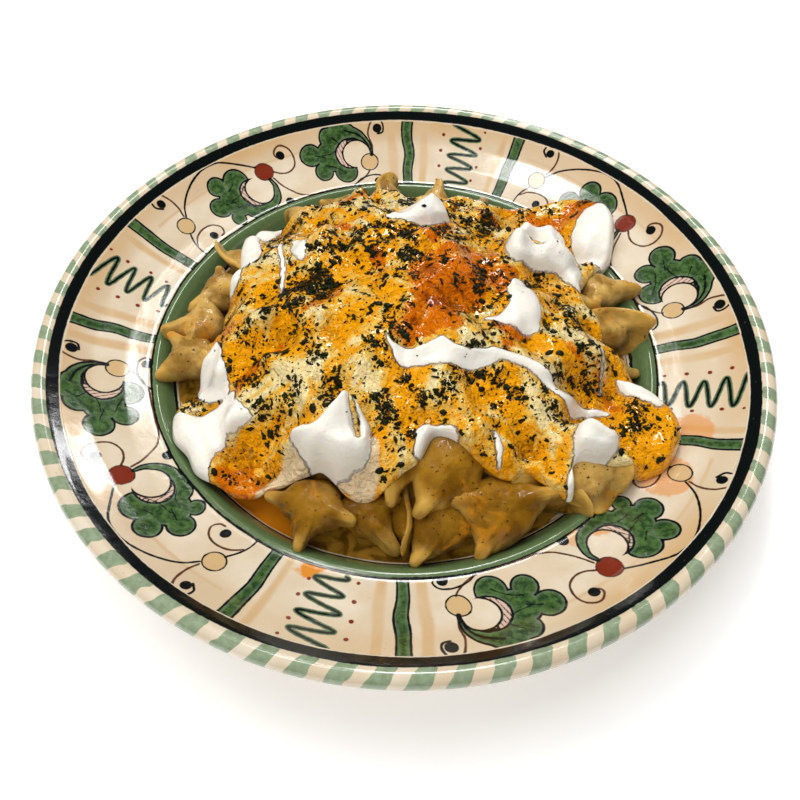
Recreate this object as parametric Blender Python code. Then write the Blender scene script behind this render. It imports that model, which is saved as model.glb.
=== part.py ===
"""Manti dumplings heaped in a deep painted plate, under yogurt with dried mint, in a little butter broth.

Lengths are in millimetres and angles in degrees; meshes are made in metres. The origin is the centre of the
plate's foot, +Z is up, and the eater sits at -Y.
"""

import math
import random

import bmesh
import bpy
from mathutils import Matrix, Vector

METRE = 1000.0
GAP = 0.5

# Plate: a deep dish with a rolled lip, a rising rim and a rounded shoulder over the well
WELL_FLOOR_Z = 6.5
FOOT_OUTER = 76.0
FOOT_INNER = 70.0
PLATE_STEPS = 60
PLATE_TOP = (
    (0.0, WELL_FLOOR_Z),
    (78.0, WELL_FLOOR_Z),
    (90.0, 9.4),
    (98.9, 15.0),
    (102.4, 20.2),
    (105.2, 22.6),
    (107.8, 22.0),
    (118.0, 25.5),
    (130.0, 30.7),
    (143.5, 39.6),
)
LIP_CENTRE = (146.4, 37.2)
LIP_RADIUS = 3.6
LIP_STEPS = 5
PLATE_UNDERSIDE = (
    (128.0, 23.4),
    (108.0, 15.0),
    (90.0, 5.4),
    (78.5, 2.2),
    (FOOT_OUTER, 0.0),
    (FOOT_INNER, 0.0),
    (68.5, 2.6),
    (0.0, 2.6),
)

# Broth: the butter and cooking water that fill the well round the heap
BROTH_LEVEL = 14.2

# Heap: a dome of filler, and a bulge in the yogurt over each dumpling that it hides
HEAP_RADIUS = 92.0
HEAP_BASE = 12.0
HEAP_RISE = 35.0
HEAP_POWER = 2.4
CORE_RADIUS = 86.0
HIDDEN_RINGS = ((0.0, 1), (23.0, 5), (45.0, 10), (66.0, 14))
HIDDEN_SPREAD = 14.5
HIDDEN_BULGE = 10.0
HIDDEN_SINK = 2.5
HIDDEN_SEED = 11
BLEND = 2.2

# Dumplings that show, as angle, distance out, height, turn, lean outwards and half-width
SHOWN = (
    (-110.5, 89.0, 25.0, 12.0, 14.0, 15.5),
    (-99.0, 87.0, 19.5, 50.0, 8.0, 12.0),
    (-90.0, 89.0, 20.5, 20.0, 18.0, 12.5),
    (-79.0, 88.0, 21.0, 48.0, 22.0, 12.5),
    (-76.0, 72.0, 34.5, 38.0, 30.0, 15.5),
    (-65.5, 90.0, 23.0, 8.0, 22.0, 16.5),
    (-53.0, 91.0, 21.0, 55.0, 16.0, 12.5),
    (-44.0, 97.0, 29.0, 20.0, 14.0, 13.5),
    (-9.0, 86.0, 22.5, 40.0, 16.0, 12.0),
    (5.0, 87.0, 24.0, 15.0, 10.0, 12.5),
    (20.0, 92.0, 25.0, 2.0, 8.0, 13.5),
    (68.0, 88.0, 23.0, 30.0, 8.0, 13.0),
    (82.0, 88.0, 22.5, 75.0, 8.0, 12.5),
    (95.0, 88.0, 22.5, 10.0, 10.0, 13.5),
    (109.0, 88.0, 22.5, 55.0, 6.0, 13.0),
    (123.0, 88.0, 22.5, 35.0, 10.0, 13.5),
    (149.0, 86.0, 23.5, 20.0, 12.0, 13.5),
    (163.0, 84.0, 23.5, 64.0, 10.0, 13.0),
    (176.0, 88.0, 24.0, 25.0, 14.0, 13.5),
    (188.0, 89.0, 23.5, 4.0, 10.0, 13.0),
)
# A dumpling of half-width 1: reach and height up its side, and how far its seams stand out and rise there
DOUGH_SIDE = (
    (0.80, -0.42, 0.05, 0.00),
    (1.00, -0.05, 0.22, 0.04),
    (0.86, 0.34, 0.32, 0.12),
    (0.46, 0.62, 0.26, 0.13),
)
BELLY_BOTTOM = -0.56
CROWN_HEIGHT = 0.74
SEAM_COUNT = 4
SEAM_HALF_ANGLE = 10.0
WAIST_ANGLE = 27.0
WAIST_REACH = 0.93
SEAM_JITTER = 11.0
SEAM_SIZES = (0.7, 1.3)
DOUGH_STRETCH = (1.0, 1.2)
DOUGH_SEED = 3

# Yogurt: its outline seen from above, as angle and distance out, with lobes that run over the rim
OUTLINE = (
    (-172.0, 80.0),
    (-163.0, 86.0),
    (-154.0, 99.0),
    (-140.0, 100.0),
    (-126.0, 96.0),
    (-114.0, 78.0),
    (-104.0, 82.0),
    (-95.0, 81.0),
    (-86.0, 70.0),
    (-77.0, 61.0),
    (-68.0, 69.0),
    (-58.0, 80.0),
    (-50.0, 86.0),
    (-43.0, 98.0),
    (-36.0, 114.0),
    (-28.0, 120.0),
    (-20.0, 117.0),
    (-13.0, 101.0),
    (-4.0, 87.0),
    (6.0, 82.0),
    (15.0, 79.0),
    (22.0, 86.0),
    (28.0, 107.0),
    (35.0, 120.0),
    (43.0, 124.0),
    (51.0, 117.0),
    (59.0, 101.0),
    (70.0, 90.0),
    (84.0, 88.0),
    (97.0, 88.0),
    (111.0, 88.0),
    (125.0, 87.0),
    (137.0, 90.0),
    (148.0, 84.0),
    (162.0, 77.0),
    (175.0, 77.0),
)
YOGURT_COVER = 1.8
YOGURT_LEVEL = 7.2
YOGURT_EDGE = 6.0
EDGE_THICKNESS = 0.7
# What the yogurt's lobes lie on between the heap and the rim, past the plate's shoulder
SHOULDER_BANK = ((CORE_RADIUS, BROTH_LEVEL + GAP), (97.0, 23.4), (110.0, 23.4))
RIM_START = 107.8
# Thick spoonfuls, as x, y, half-length, half-width, turn of the long side and height
SPOONFULS = (
    (-25.0, -62.0, 20.0, 15.0, 62.0, 9.0),
    (6.0, 57.0, 16.0, 10.0, 15.0, 9.0),
    (51.0, 43.0, 18.0, 13.0, 20.0, 9.0),
    (70.0, -52.0, 18.0, 11.0, 40.0, 8.0),
    (92.0, 68.0, 22.0, 19.0, 40.0, 10.0),
    (96.0, -46.0, 24.0, 20.0, -35.0, 8.0),
    (94.0, -28.0, 13.0, 8.0, 10.0, 5.0),
    (-78.0, -52.0, 22.0, 14.0, 115.0, 3.5),
    (-70.0, 63.0, 19.0, 10.0, 50.0, 4.0),
    (40.0, -8.0, 18.0, 9.0, -35.0, 2.5),
    (18.0, -52.0, 12.0, 9.0, 0.0, 4.0),
)
FINE_COUNT = 72
COARSE_COUNT = 36
YOGURT_SHARES = (0.1, 0.2, 0.3, 0.4, 0.5, 0.59, 0.67, 0.75, 0.83, 0.91, 1.0)
UNDER_SHARES = (0.25, 0.5, 0.75, 0.9, 1.0)
EDGE_SHARES = (0.5, 0.8, 1.0)
EDGE_WIDTH = 7.0

# Mint: the largest flakes, pressed into the yogurt
FLAKE_COUNT = 50
FLAKE_LENGTH = 4.2
FLAKE_WIDTH = 2.2
FLAKE_HEIGHT = 1.3
FLAKE_SIDES = 5
FLAKE_SEED = 5
FLAKE_REACH = 80.0

COLOURS = {
    "plate": (0.80, 0.72, 0.60),
    "broth": (0.45, 0.22, 0.03),
    "dumplings": (0.72, 0.50, 0.22),
    "yogurt": (0.86, 0.66, 0.34),
}
ROUGHNESSES = {"plate": 0.15, "broth": 0.08, "dumplings": 0.32, "yogurt": 0.28}


def polar(angle, distance):
    """The point in plan at this angle, in degrees, and distance."""
    turn = math.radians(angle)
    return distance * math.cos(turn), distance * math.sin(turn)


def between(points, at):
    """The value at a place along a rising list of (place, value), joined by straight lines."""
    for (low, first), (high, second) in zip(points, points[1:]):
        if at <= high:
            share = (at - low) / (high - low)
            return first + (second - first) * max(share, 0.0)
    return points[-1][1]


def soft_max(values, width):
    """The largest value, with the crease between near ones rounded over about this width."""
    top = max(values)
    return top + width * math.log(sum(math.exp((value - top) / width) for value in values))


def new_object(name, bm):
    """One named object in metres from a bmesh in millimetres."""
    bmesh.ops.transform(bm, matrix=Matrix.Scale(1 / METRE, 4), verts=bm.verts)
    mesh = bpy.data.meshes.new(name)
    bm.to_mesh(mesh)
    bm.free()
    made = bpy.data.objects.new(name, mesh)
    bpy.context.collection.objects.link(made)
    return made


def turned(profile):
    """A profile of (radius, height) turned once round the vertical axis, as a bmesh."""
    bm = bmesh.new()
    points = [bm.verts.new((radius, 0.0, height)) for radius, height in profile]
    edges = [bm.edges.new(pair) for pair in zip(points, points[1:])]
    if profile[0][0] > 0.0:
        edges.append(bm.edges.new((points[-1], points[0])))
    bmesh.ops.spin(
        bm,
        geom=points + edges,
        cent=(0.0, 0.0, 0.0),
        axis=(0.0, 0.0, 1.0),
        angle=math.tau,
        steps=PLATE_STEPS,
        use_merge=True,
    )
    bmesh.ops.remove_doubles(bm, verts=bm.verts, dist=GAP / 100)
    bmesh.ops.recalc_face_normals(bm, faces=bm.faces)
    return bm


def lip_arc():
    """The rolled lip's round outside, from the end of the rim's top to its underside."""
    first, last = math.radians(135.0), math.radians(-75.0)
    turns = [first + (last - first) * step / (LIP_STEPS - 1) for step in range(LIP_STEPS)]
    across, up = LIP_CENTRE
    return [(across + LIP_RADIUS * math.cos(turn), up + LIP_RADIUS * math.sin(turn)) for turn in turns]


def make_plate():
    return new_object("plate", turned([*PLATE_TOP, *lip_arc(), *PLATE_UNDERSIDE]))


def well_wall():
    """The plate's inside past the heap's core, raised by a gap."""
    return [(radius, height + GAP) for radius, height in PLATE_TOP if radius > CORE_RADIUS]


def reach_at(wall, height):
    """How far out a wall stands at this height."""
    return between([(up, across) for across, up in wall], height)


def broth_profile():
    """The ring of broth between the heap's core and the wall of the well, closed at its level."""
    wall = well_wall()
    inner = CORE_RADIUS + GAP
    outer = reach_at(wall, BROTH_LEVEL)
    below = [point for point in wall if point[1] < BROTH_LEVEL]
    return [(inner, between(PLATE_TOP, inner) + GAP), *below, (outer, BROTH_LEVEL), (inner, BROTH_LEVEL)]


def make_broth():
    return new_object("broth", turned(broth_profile()))


def dome(distance):
    """Height of the filler's dome."""
    share = min(distance / HEAP_RADIUS, 1.0)
    return HEAP_BASE + HEAP_RISE * (1.0 - share**HEAP_POWER) ** 0.8


def hidden_dumplings():
    """Centre of each dumpling under the yogurt, ring by ring, each a little out of line."""
    draw = random.Random(HIDDEN_SEED)
    found = []
    for ring, (distance, count) in enumerate(HIDDEN_RINGS):
        for place in range(count):
            angle = 360.0 * (place + 0.5 * (ring % 2) + draw.uniform(-0.18, 0.18)) / count
            out = distance + draw.uniform(-3.0, 3.0)
            lift = draw.uniform(-2.0, 2.0)
            found.append((*polar(angle, out), dome(out) - HIDDEN_SINK + lift))
    return found


HIDDEN = hidden_dumplings()


def heap_bulges(x, y):
    """Height of the hidden dumplings' rounded backs over the dome."""
    heights = [dome(math.hypot(x, y))]
    for centre_x, centre_y, centre_z in HIDDEN:
        share = math.hypot(x - centre_x, y - centre_y) / HIDDEN_SPREAD
        if share < 1.0:
            heights.append(centre_z + HIDDEN_BULGE * (1.0 - share * share))
    return soft_max(heights, BLEND)


def outline_at(angle):
    """How far out the yogurt reaches at this angle, on a smooth curve through the outline's points."""
    first = OUTLINE[0][0]
    turn = (angle - first) % 360.0 + first
    points = [*OUTLINE, (first + 360.0, OUTLINE[0][1])]
    for number, ((low, _), (high, _)) in enumerate(zip(points, points[1:])):
        if turn <= high:
            share = (turn - low) / (high - low)
            near = [OUTLINE[(number + step) % len(OUTLINE)][1] for step in (-1, 0, 1, 2)]
            return curve_through(near, share)
    return points[-1][1]


def curve_through(near, share):
    """A Catmull-Rom curve between the middle two of four values."""
    before, first, second, after = near
    slope = (second - before) / 2.0
    next_slope = (after - first) / 2.0
    rise = second - first
    bend = 3.0 * rise - 2.0 * slope - next_slope
    twist = slope + next_slope - 2.0 * rise
    return first + share * (slope + share * (bend + share * twist))


def spoonfuls(x, y):
    """How much the thick spoonfuls raise the yogurt here."""
    total = 0.0
    for centre_x, centre_y, half_length, half_width, turn, height in SPOONFULS:
        along_x, along_y = polar(turn, 1.0)
        along = ((x - centre_x) * along_x + (y - centre_y) * along_y) / half_length
        across = ((y - centre_y) * along_x - (x - centre_x) * along_y) / half_width
        share = along * along + across * across
        if share < 1.0:
            total = max(total, height * (1.0 - share) ** 0.75)
    return total


def support(x, y):
    """Height of what the yogurt lies on: the dome, or the plate's shoulder and rim past it."""
    distance = math.hypot(x, y)
    if distance < CORE_RADIUS:
        return dome(distance)
    bank = between(SHOULDER_BANK, distance)
    rim = between(PLATE_TOP, distance) + 0.6 if distance > RIM_START else 0.0
    return max(dome(distance), bank, rim)


def yogurt_top(x, y):
    """Height of the yogurt's surface, which softens the heap's bulges and tapers to its outline."""
    distance = math.hypot(x, y)
    base = support(x, y)
    bulges = max(heap_bulges(x, y), base) + YOGURT_COVER
    level = 0.45 * bulges + 0.55 * (dome(distance) + YOGURT_LEVEL)
    thickness = soft_max((bulges, level), 1.0) - base + spoonfuls(x, y)
    inside = outline_at(math.degrees(math.atan2(y, x))) - distance
    share = min(max(inside / YOGURT_EDGE, 0.0), 1.0)
    return base + 2.0 * GAP + EDGE_THICKNESS + thickness * math.sqrt(share * (2.0 - share))


def ring_of(bm, count, distance_at, height_at):
    """One closed ring of points, whose distance out depends on the angle and height on the place."""
    ring = []
    for step in range(count):
        angle = 360.0 * step / count
        x, y = polar(angle, distance_at(angle))
        ring.append(bm.verts.new((x, y, height_at(x, y))))
    return ring


def bridge(bm, inner, outer):
    """Faces between two rings, where the outer has as many points or twice as many."""
    count = len(inner)
    ratio = len(outer) // count
    for step in range(count):
        after = (step + 1) % count
        first, last = outer[step * ratio], outer[after * ratio]
        if ratio == 1:
            bm.faces.new((inner[step], first, last))
            bm.faces.new((inner[step], last, inner[after]))
        else:
            middle = outer[step * ratio + 1]
            bm.faces.new((inner[step], first, middle))
            bm.faces.new((inner[step], middle, inner[after]))
            bm.faces.new((middle, last, inner[after]))


def cap(bm, rings, height_at):
    """A surface over the rings, from a point at their middle outwards."""
    middle = bm.verts.new((0.0, 0.0, height_at(0.0, 0.0)))
    first = rings[0]
    for step in range(len(first)):
        bm.faces.new((middle, first[step], first[(step + 1) % len(first)]))
    for inner, outer in zip(rings, rings[1:]):
        bridge(bm, inner, outer)


def shared_reach(angle):
    """How far out the core's and the yogurt's facets run on the same lines."""
    return min(outline_at(angle) - EDGE_WIDTH, CORE_RADIUS - 4.0)


def share_ring(bm, count, share, height_at):
    return ring_of(bm, count, lambda angle: share * shared_reach(angle), height_at)


def edge_ring(bm, count, share, height_at):
    """A ring between the shared facets and the yogurt's outline."""

    def reach(angle):
        near = shared_reach(angle)
        return near + share * (outline_at(angle) - near)

    return ring_of(bm, count, reach, height_at)


def core_solid():
    """The heap's bare core, which stands on the floor of the well."""
    bm = bmesh.new()
    rings = [share_ring(bm, COARSE_COUNT, share, support) for share in UNDER_SHARES]
    rings.append(ring_of(bm, COARSE_COUNT, lambda angle: CORE_RADIUS, support))
    cap(bm, rings, support)

    def floor(x, y):
        return between(PLATE_TOP, math.hypot(x, y)) + GAP

    low = ring_of(bm, COARSE_COUNT, lambda angle: CORE_RADIUS, floor)
    flat = ring_of(bm, COARSE_COUNT, lambda angle: PLATE_TOP[1][0], floor)
    bridge(bm, rings[-1], low)
    bridge(bm, low, flat)
    bm.faces.new(flat)
    bmesh.ops.recalc_face_normals(bm, faces=bm.faces)
    return bm


def yogurt_below(bm, drop):
    """The yogurt's underside, which may be lowered a little; returns its outer ring."""

    def underside(x, y):
        return support(x, y) + GAP - drop

    def edge_underside(x, y):
        return support(x, y) + 2.0 * GAP - drop

    below = [share_ring(bm, COARSE_COUNT, share, underside) for share in UNDER_SHARES]
    below += [edge_ring(bm, FINE_COUNT, share, edge_underside) for share in EDGE_SHARES]
    cap(bm, below, underside)
    return below[-1]


def yogurt_solid():
    bm = bmesh.new()
    coarse = [share_ring(bm, COARSE_COUNT, share, yogurt_top) for share in YOGURT_SHARES[:4]]
    fine = [share_ring(bm, FINE_COUNT, share, yogurt_top) for share in YOGURT_SHARES[4:]]
    over_edge = [edge_ring(bm, FINE_COUNT, share, yogurt_top) for share in EDGE_SHARES]
    cap(bm, coarse + fine + over_edge, yogurt_top)
    bridge(bm, over_edge[-1], yogurt_below(bm, 0.0))
    bmesh.ops.recalc_face_normals(bm, faces=bm.faces)
    return bm


def yogurt_room():
    """The room that the dumplings leave free: all above the yogurt's underside, inside its outline."""
    bm = bmesh.new()
    low = yogurt_below(bm, 0.5 * GAP)
    grown = [vertex.co.xy * (1.0 + GAP / vertex.co.xy.length) for vertex in low]
    beside = [bm.verts.new((*place, vertex.co.z)) for place, vertex in zip(grown, low)]
    high = [bm.verts.new((*place, 2.0 * HEAP_RADIUS)) for place in grown]
    bridge(bm, low, beside)
    bridge(bm, beside, high)
    bm.faces.new(high)
    bmesh.ops.recalc_face_normals(bm, faces=bm.faces)
    return bm


def dough_sectors(draw):
    """Angle, reach and share of the seam at each place round a dumpling: fins with a waist on both sides."""
    sectors = []
    for seam in range(SEAM_COUNT):
        angle = 360.0 * seam / SEAM_COUNT + draw.uniform(-SEAM_JITTER, SEAM_JITTER)
        size = draw.uniform(*SEAM_SIZES)
        sectors.append((angle - WAIST_ANGLE, WAIST_REACH, 0.0))
        sectors.append((angle - SEAM_HALF_ANGLE, 1.0, size))
        sectors.append((angle + SEAM_HALF_ANGLE, 1.0, size))
        sectors.append((angle + WAIST_ANGLE, WAIST_REACH, 0.0))
    return sectors


def dumpling(draw, angle, out, height, turn, lean, half_width):
    """A square of dough gathered over its filling, with its seams pinched into fins that meet on top."""
    bm = bmesh.new()
    sectors = dough_sectors(draw)
    rings = []
    for reach, rise, flare, lift in DOUGH_SIDE:
        ring = []
        for around, share, seam in sectors:
            x, y = polar(around, reach * share + flare * seam)
            ring.append(bm.verts.new((x, y, rise + lift * seam)))
        rings.append(ring)
    bottom = bm.verts.new((0.0, 0.0, BELLY_BOTTOM))
    crown = bm.verts.new((0.0, 0.0, CROWN_HEIGHT))
    for step, after in zip(range(len(sectors)), [*range(1, len(sectors)), 0]):
        bm.faces.new((bottom, rings[0][after], rings[0][step]))
        bm.faces.new((crown, rings[-1][step], rings[-1][after]))
    for inner, outer in zip(rings, rings[1:]):
        bridge(bm, inner, outer)
    bmesh.ops.recalc_face_normals(bm, faces=bm.faces)
    stretch = draw.uniform(*DOUGH_STRETCH)
    size = Matrix.Diagonal((half_width * stretch, half_width / stretch, half_width, 1.0))
    turning = Matrix.Rotation(math.radians(turn), 4, "Z")
    leaning = Matrix.Rotation(math.radians(lean), 4, "Y")
    outwards = Matrix.Rotation(math.radians(angle), 4, "Z")
    place = Matrix.Translation((*polar(angle, out), height))
    bmesh.ops.transform(bm, matrix=place @ outwards @ leaning @ turning @ size, verts=bm.verts)
    return bm


def keep_out_profile():
    """What the dumplings stay clear of: the plate's inside and the ring of broth."""
    top = BROTH_LEVEL + GAP
    wall = well_wall()
    inner = CORE_RADIUS + GAP / 2
    outer = reach_at(wall, top)
    above = [point for point in wall if point[1] > top + GAP]
    far = 1.1 * PLATE_TOP[-1][0]
    return [(inner, -GAP), (inner, top), (outer, top), *above, (far, 2.0 * top), (far, -GAP)]


def apply_boolean(target, others, operation):
    """Joins or cuts with every object of a collection in one step, then removes them."""
    group = bpy.data.collections.new("others")
    for other in others:
        bpy.context.collection.objects.unlink(other)
        group.objects.link(other)
    bpy.context.scene.collection.children.link(group)
    step = target.modifiers.new(operation, "BOOLEAN")
    step.operation = operation
    step.operand_type = "COLLECTION"
    step.collection = group
    step.solver = "EXACT"
    bpy.context.view_layer.update()
    graph = bpy.context.evaluated_depsgraph_get()
    result = bpy.data.meshes.new_from_object(target.evaluated_get(graph))
    target.modifiers.clear()
    target.data = result
    for other in others:
        bpy.data.objects.remove(other)
    bpy.data.collections.remove(group)


def keep_largest(target):
    """Drops the loose scraps that cutting leaves, and the slivers along its edges."""
    bm = bmesh.new()
    bm.from_mesh(target.data)
    bmesh.ops.dissolve_degenerate(bm, edges=bm.edges, dist=0.001 / METRE)
    unseen = set(bm.verts)
    groups = []
    while unseen:
        group, edge = set(), [unseen.pop()]
        while edge:
            vertex = edge.pop()
            group.add(vertex)
            near = {link.other_vert(vertex) for link in vertex.link_edges} & unseen
            unseen -= near
            edge.extend(near)
        groups.append(group)
    largest = max(groups, key=len)
    bmesh.ops.delete(bm, geom=[vertex for vertex in bm.verts if vertex not in largest], context="VERTS")
    bmesh.ops.triangulate(bm, faces=bm.faces)
    bm.to_mesh(target.data)
    bm.free()


def make_dumplings():
    heap = new_object("dumplings", core_solid())
    draw = random.Random(DOUGH_SEED)
    shown = [new_object("shown", dumpling(draw, *values)) for values in SHOWN]
    apply_boolean(heap, shown, "UNION")
    apply_boolean(heap, [new_object("keep_out", turned(keep_out_profile()))], "DIFFERENCE")
    apply_boolean(heap, [new_object("room", yogurt_room())], "DIFFERENCE")
    keep_largest(heap)
    return heap


def flake(draw):
    """A curled flake of mint, half sunk in the yogurt."""
    angle = draw.uniform(0.0, 360.0)
    out = FLAKE_REACH * math.sqrt(draw.random())
    out = min(out, shared_reach(angle) - FLAKE_LENGTH)
    x, y = polar(angle, out)
    size = draw.uniform(0.75, 1.25)
    bm = bmesh.new()
    outline = []
    for side in range(FLAKE_SIDES):
        across, along = polar(360.0 * side / FLAKE_SIDES + draw.uniform(-14.0, 14.0), size / 2)
        outline.append(bm.verts.new((FLAKE_LENGTH * across, FLAKE_WIDTH * along, -FLAKE_HEIGHT / 2)))
    bottom = bm.faces.new(outline)
    raised = bmesh.ops.extrude_face_region(bm, geom=[bottom])["geom"]
    top = [part for part in raised if isinstance(part, bmesh.types.BMVert)]
    bmesh.ops.translate(bm, verts=top, vec=(0.0, 0.0, FLAKE_HEIGHT))
    bmesh.ops.recalc_face_normals(bm, faces=bm.faces)
    step = 2.0
    lean = Vector(
        (
            yogurt_top(x - step, y) - yogurt_top(x + step, y),
            yogurt_top(x, y - step) - yogurt_top(x, y + step),
            2.0 * step,
        )
    )
    tilt = lean.to_track_quat("Z", "Y").to_matrix().to_4x4()
    spin = Matrix.Rotation(draw.uniform(0.0, math.pi), 4, "Z")
    place = Matrix.Translation((x, y, yogurt_top(x, y)))
    bmesh.ops.transform(bm, matrix=place @ tilt @ spin, verts=bm.verts)
    return bm


def make_yogurt():
    yogurt = new_object("yogurt", yogurt_solid())
    draw = random.Random(FLAKE_SEED)
    flakes = [new_object("flake", flake(draw)) for _ in range(FLAKE_COUNT)]
    apply_boolean(yogurt, flakes, "UNION")
    keep_largest(yogurt)
    return yogurt


def add_material(target):
    material = bpy.data.materials.new(target.name)
    material.use_nodes = True
    finish = material.node_tree.nodes["Principled BSDF"].inputs
    finish["Base Color"].default_value = (*COLOURS[target.name], 1.0)
    finish["Roughness"].default_value = ROUGHNESSES[target.name]
    finish["Metallic"].default_value = 0.0
    target.data.materials.clear()
    target.data.materials.append(material)


def main():
    for old in list(bpy.data.objects):
        bpy.data.objects.remove(old)
    for made in (make_plate(), make_broth(), make_dumplings(), make_yogurt()):
        add_material(made)
        made.data.shade_smooth()
        made.data.set_sharp_from_angle(angle=math.radians(40.0))


main()
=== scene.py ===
import math
import random

import bpy
import numpy as np
from mathutils import Matrix, Vector


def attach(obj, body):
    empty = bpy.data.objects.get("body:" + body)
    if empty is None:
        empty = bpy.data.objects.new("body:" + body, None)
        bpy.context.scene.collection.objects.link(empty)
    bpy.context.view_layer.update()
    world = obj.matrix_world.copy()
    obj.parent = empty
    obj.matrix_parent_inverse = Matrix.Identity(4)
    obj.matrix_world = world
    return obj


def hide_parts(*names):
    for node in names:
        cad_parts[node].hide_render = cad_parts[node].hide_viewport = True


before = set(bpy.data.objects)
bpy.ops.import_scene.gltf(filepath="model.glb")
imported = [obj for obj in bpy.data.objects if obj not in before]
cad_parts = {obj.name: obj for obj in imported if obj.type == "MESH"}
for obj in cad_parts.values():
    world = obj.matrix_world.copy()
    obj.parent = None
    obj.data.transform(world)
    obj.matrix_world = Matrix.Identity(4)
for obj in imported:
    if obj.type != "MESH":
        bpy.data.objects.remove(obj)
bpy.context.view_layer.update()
metre = 1000.0


# Small tools for surfaces


def addPiece(name, points, faceLists, material, replaced):
    # A smooth mesh at the origin, from points in millimetres and lists of faces
    mesh = bpy.data.meshes.new(name)
    faces = [face for rows in faceLists for face in rows.tolist()]
    mesh.from_pydata((points / metre).tolist(), [], faces)
    mesh.shade_smooth()
    piece = bpy.data.objects.new(name, mesh)
    bpy.context.collection.objects.link(piece)
    mesh.materials.append(material)
    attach(piece, "root")
    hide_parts(replaced)
    print(name, len(points), "points")
    return piece


def addValues(piece, name, values):
    # One number for each point, which a material reads by name
    layer = piece.data.attributes.new(name, "FLOAT", "POINT")
    layer.data.foreach_set("value", np.asarray(values, dtype=np.float32).ravel())


def gridFaces(rows, columns, closed, first=0):
    # Squares between the rows of a grid of points, and from its last column to its first if closed
    across = np.arange(columns if closed else columns - 1)
    row, column = np.meshgrid(np.arange(rows - 1), across, indexing="ij")
    after = (column + 1) % columns
    low = row * columns
    high = low + columns
    faces = np.stack((low + column, low + after, high + after, high + column), axis=-1)
    return faces.reshape(-1, 4) + first


def fanFaces(middle, ring, outward=True):
    # Triangles from a pole to the ring of points around it
    after = np.roll(ring, -1)
    pair = (ring, after) if outward else (after, ring)
    return np.stack((np.full(len(ring), middle), *pair), axis=-1)


def pointRows(x, y, z):
    # One row of x, y and z for each point
    return np.stack((x, y, z), axis=-1).reshape(-1, 3)


def closeRings(points, columns, over, under):
    # Points in rings, closed by a point over the first ring and one under the last, with the faces between
    rows = len(points) // columns
    last = np.arange(columns) + (rows - 1) * columns
    faces = [gridFaces(rows, columns, True)[:, ::-1]]
    faces.append(fanFaces(len(points), np.arange(columns)))
    faces.append(fanFaces(len(points) + 1, last, False))
    return np.vstack((points, (0.0, 0.0, over), (0.0, 0.0, under))), faces


def polarPlace(angle, distance):
    # The point in plan at this angle and distance
    turn = np.radians(angle)
    return distance * np.cos(turn), distance * np.sin(turn)


def lumps(x, y, size, seed):
    # Smooth random heights from -1 to 1: random numbers on a square lattice, joined by an eased blend
    table = np.random.default_rng(seed).uniform(-1.0, 1.0, (128, 128))
    across, along = np.asarray(x) / size + 57.0, np.asarray(y) / size + 57.0
    column, row = np.floor(across).astype(int), np.floor(along).astype(int)
    s, t = across - column, along - row
    s, t = s * s * (3.0 - 2.0 * s), t * t * (3.0 - 2.0 * t)
    left, right = column % 128, (column + 1) % 128
    low, high = row % 128, (row + 1) % 128
    near = table[left, low] * (1.0 - s) + table[right, low] * s
    far = table[left, high] * (1.0 - s) + table[right, high] * s
    return near * (1.0 - t) + far * t


def rough(x, y, size, seed, layers=3):
    # Lumps on lumps, each layer half as wide and half as strong as the one before
    total = 0.0
    for layer in range(layers):
        total = total + lumps(x, y, size / 2.0**layer, seed + layer) / 2.0**layer
    return total


def curve(before, first, second, after, share):
    # A Catmull-Rom curve from the first value to the second, at this share of the way
    slope, nextSlope, rise = (second - before) / 2.0, (after - first) / 2.0, second - first
    bend = 3.0 * rise - 2.0 * slope - nextSlope
    twist = slope + nextSlope - 2.0 * rise
    return first + share * (slope + share * (bend + share * twist))


def smoothLine(points, perSpan=6):
    # A smooth line through the points, whose columns may also hold widths
    known = np.asarray(points, dtype=float)
    ends = np.vstack((2.0 * known[0] - known[1], known, 2.0 * known[-1] - known[-2]))
    share = np.linspace(0.0, 1.0, perSpan, endpoint=False)[:, None]
    spans = [curve(*four, share) for four in zip(ends, ends[1:], ends[2:], ends[3:])]
    return np.vstack((*spans, known[-1:]))


def fromSegment(x, y, first, last):
    # Distance to the straight line between two points, and the nearest place's share of its length
    runX, runY = last[0] - first[0], last[1] - first[1]
    share = ((x - first[0]) * runX + (y - first[1]) * runY) / max(runX**2 + runY**2, 1e-9)
    share = np.clip(share, 0.0, 1.0)
    return np.hypot(x - first[0] - share * runX, y - first[1] - share * runY), share


def stroke(x, y, points, width):
    # Distance to a smooth line through the points, less half its width, which may be a third column instead
    line = smoothLine(points)
    best = np.full(np.shape(x), 1e3)
    for first, last in zip(line, line[1:]):
        away, share = fromSegment(x, y, first, last)
        half = width / 2.0 if len(first) == 2 else first[2] + share * (last[2] - first[2])
        best = np.minimum(best, away - half)
    return best


def disc(x, y, circle):
    # Distance to the edge of a disc, negative inside
    return np.hypot(x - circle[0], y - circle[1]) - circle[2]


def nearest(*distances):
    # The smallest of several distances at each point: the shapes laid together
    least = distances[0]
    for distance in distances[1:]:
        least = np.minimum(least, distance)
    return least


def ease(values, low, high):
    # 0 below low, 1 above high and a smooth rise between
    share = np.clip((values - low) / (high - low), 0.0, 1.0)
    return share * share * (3.0 - 2.0 * share)


# Small tools for materials


def newMaterial(name):
    material = bpy.data.materials.new(name)
    material.use_nodes = True
    tree = material.node_tree
    return material, tree, tree.nodes["Principled BSDF"]


def addNode(tree, kind, inputs=None, **settings):
    # One shader node; an input is a number, a colour or another node's output
    node = tree.nodes.new("ShaderNode" + kind)
    for name, value in settings.items():
        setattr(node, name, value)
    for place, value in (inputs or {}).items():
        if isinstance(value, bpy.types.NodeSocket):
            tree.links.new(value, node.inputs[place])
        else:
            node.inputs[place].default_value = value
    return node


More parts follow.
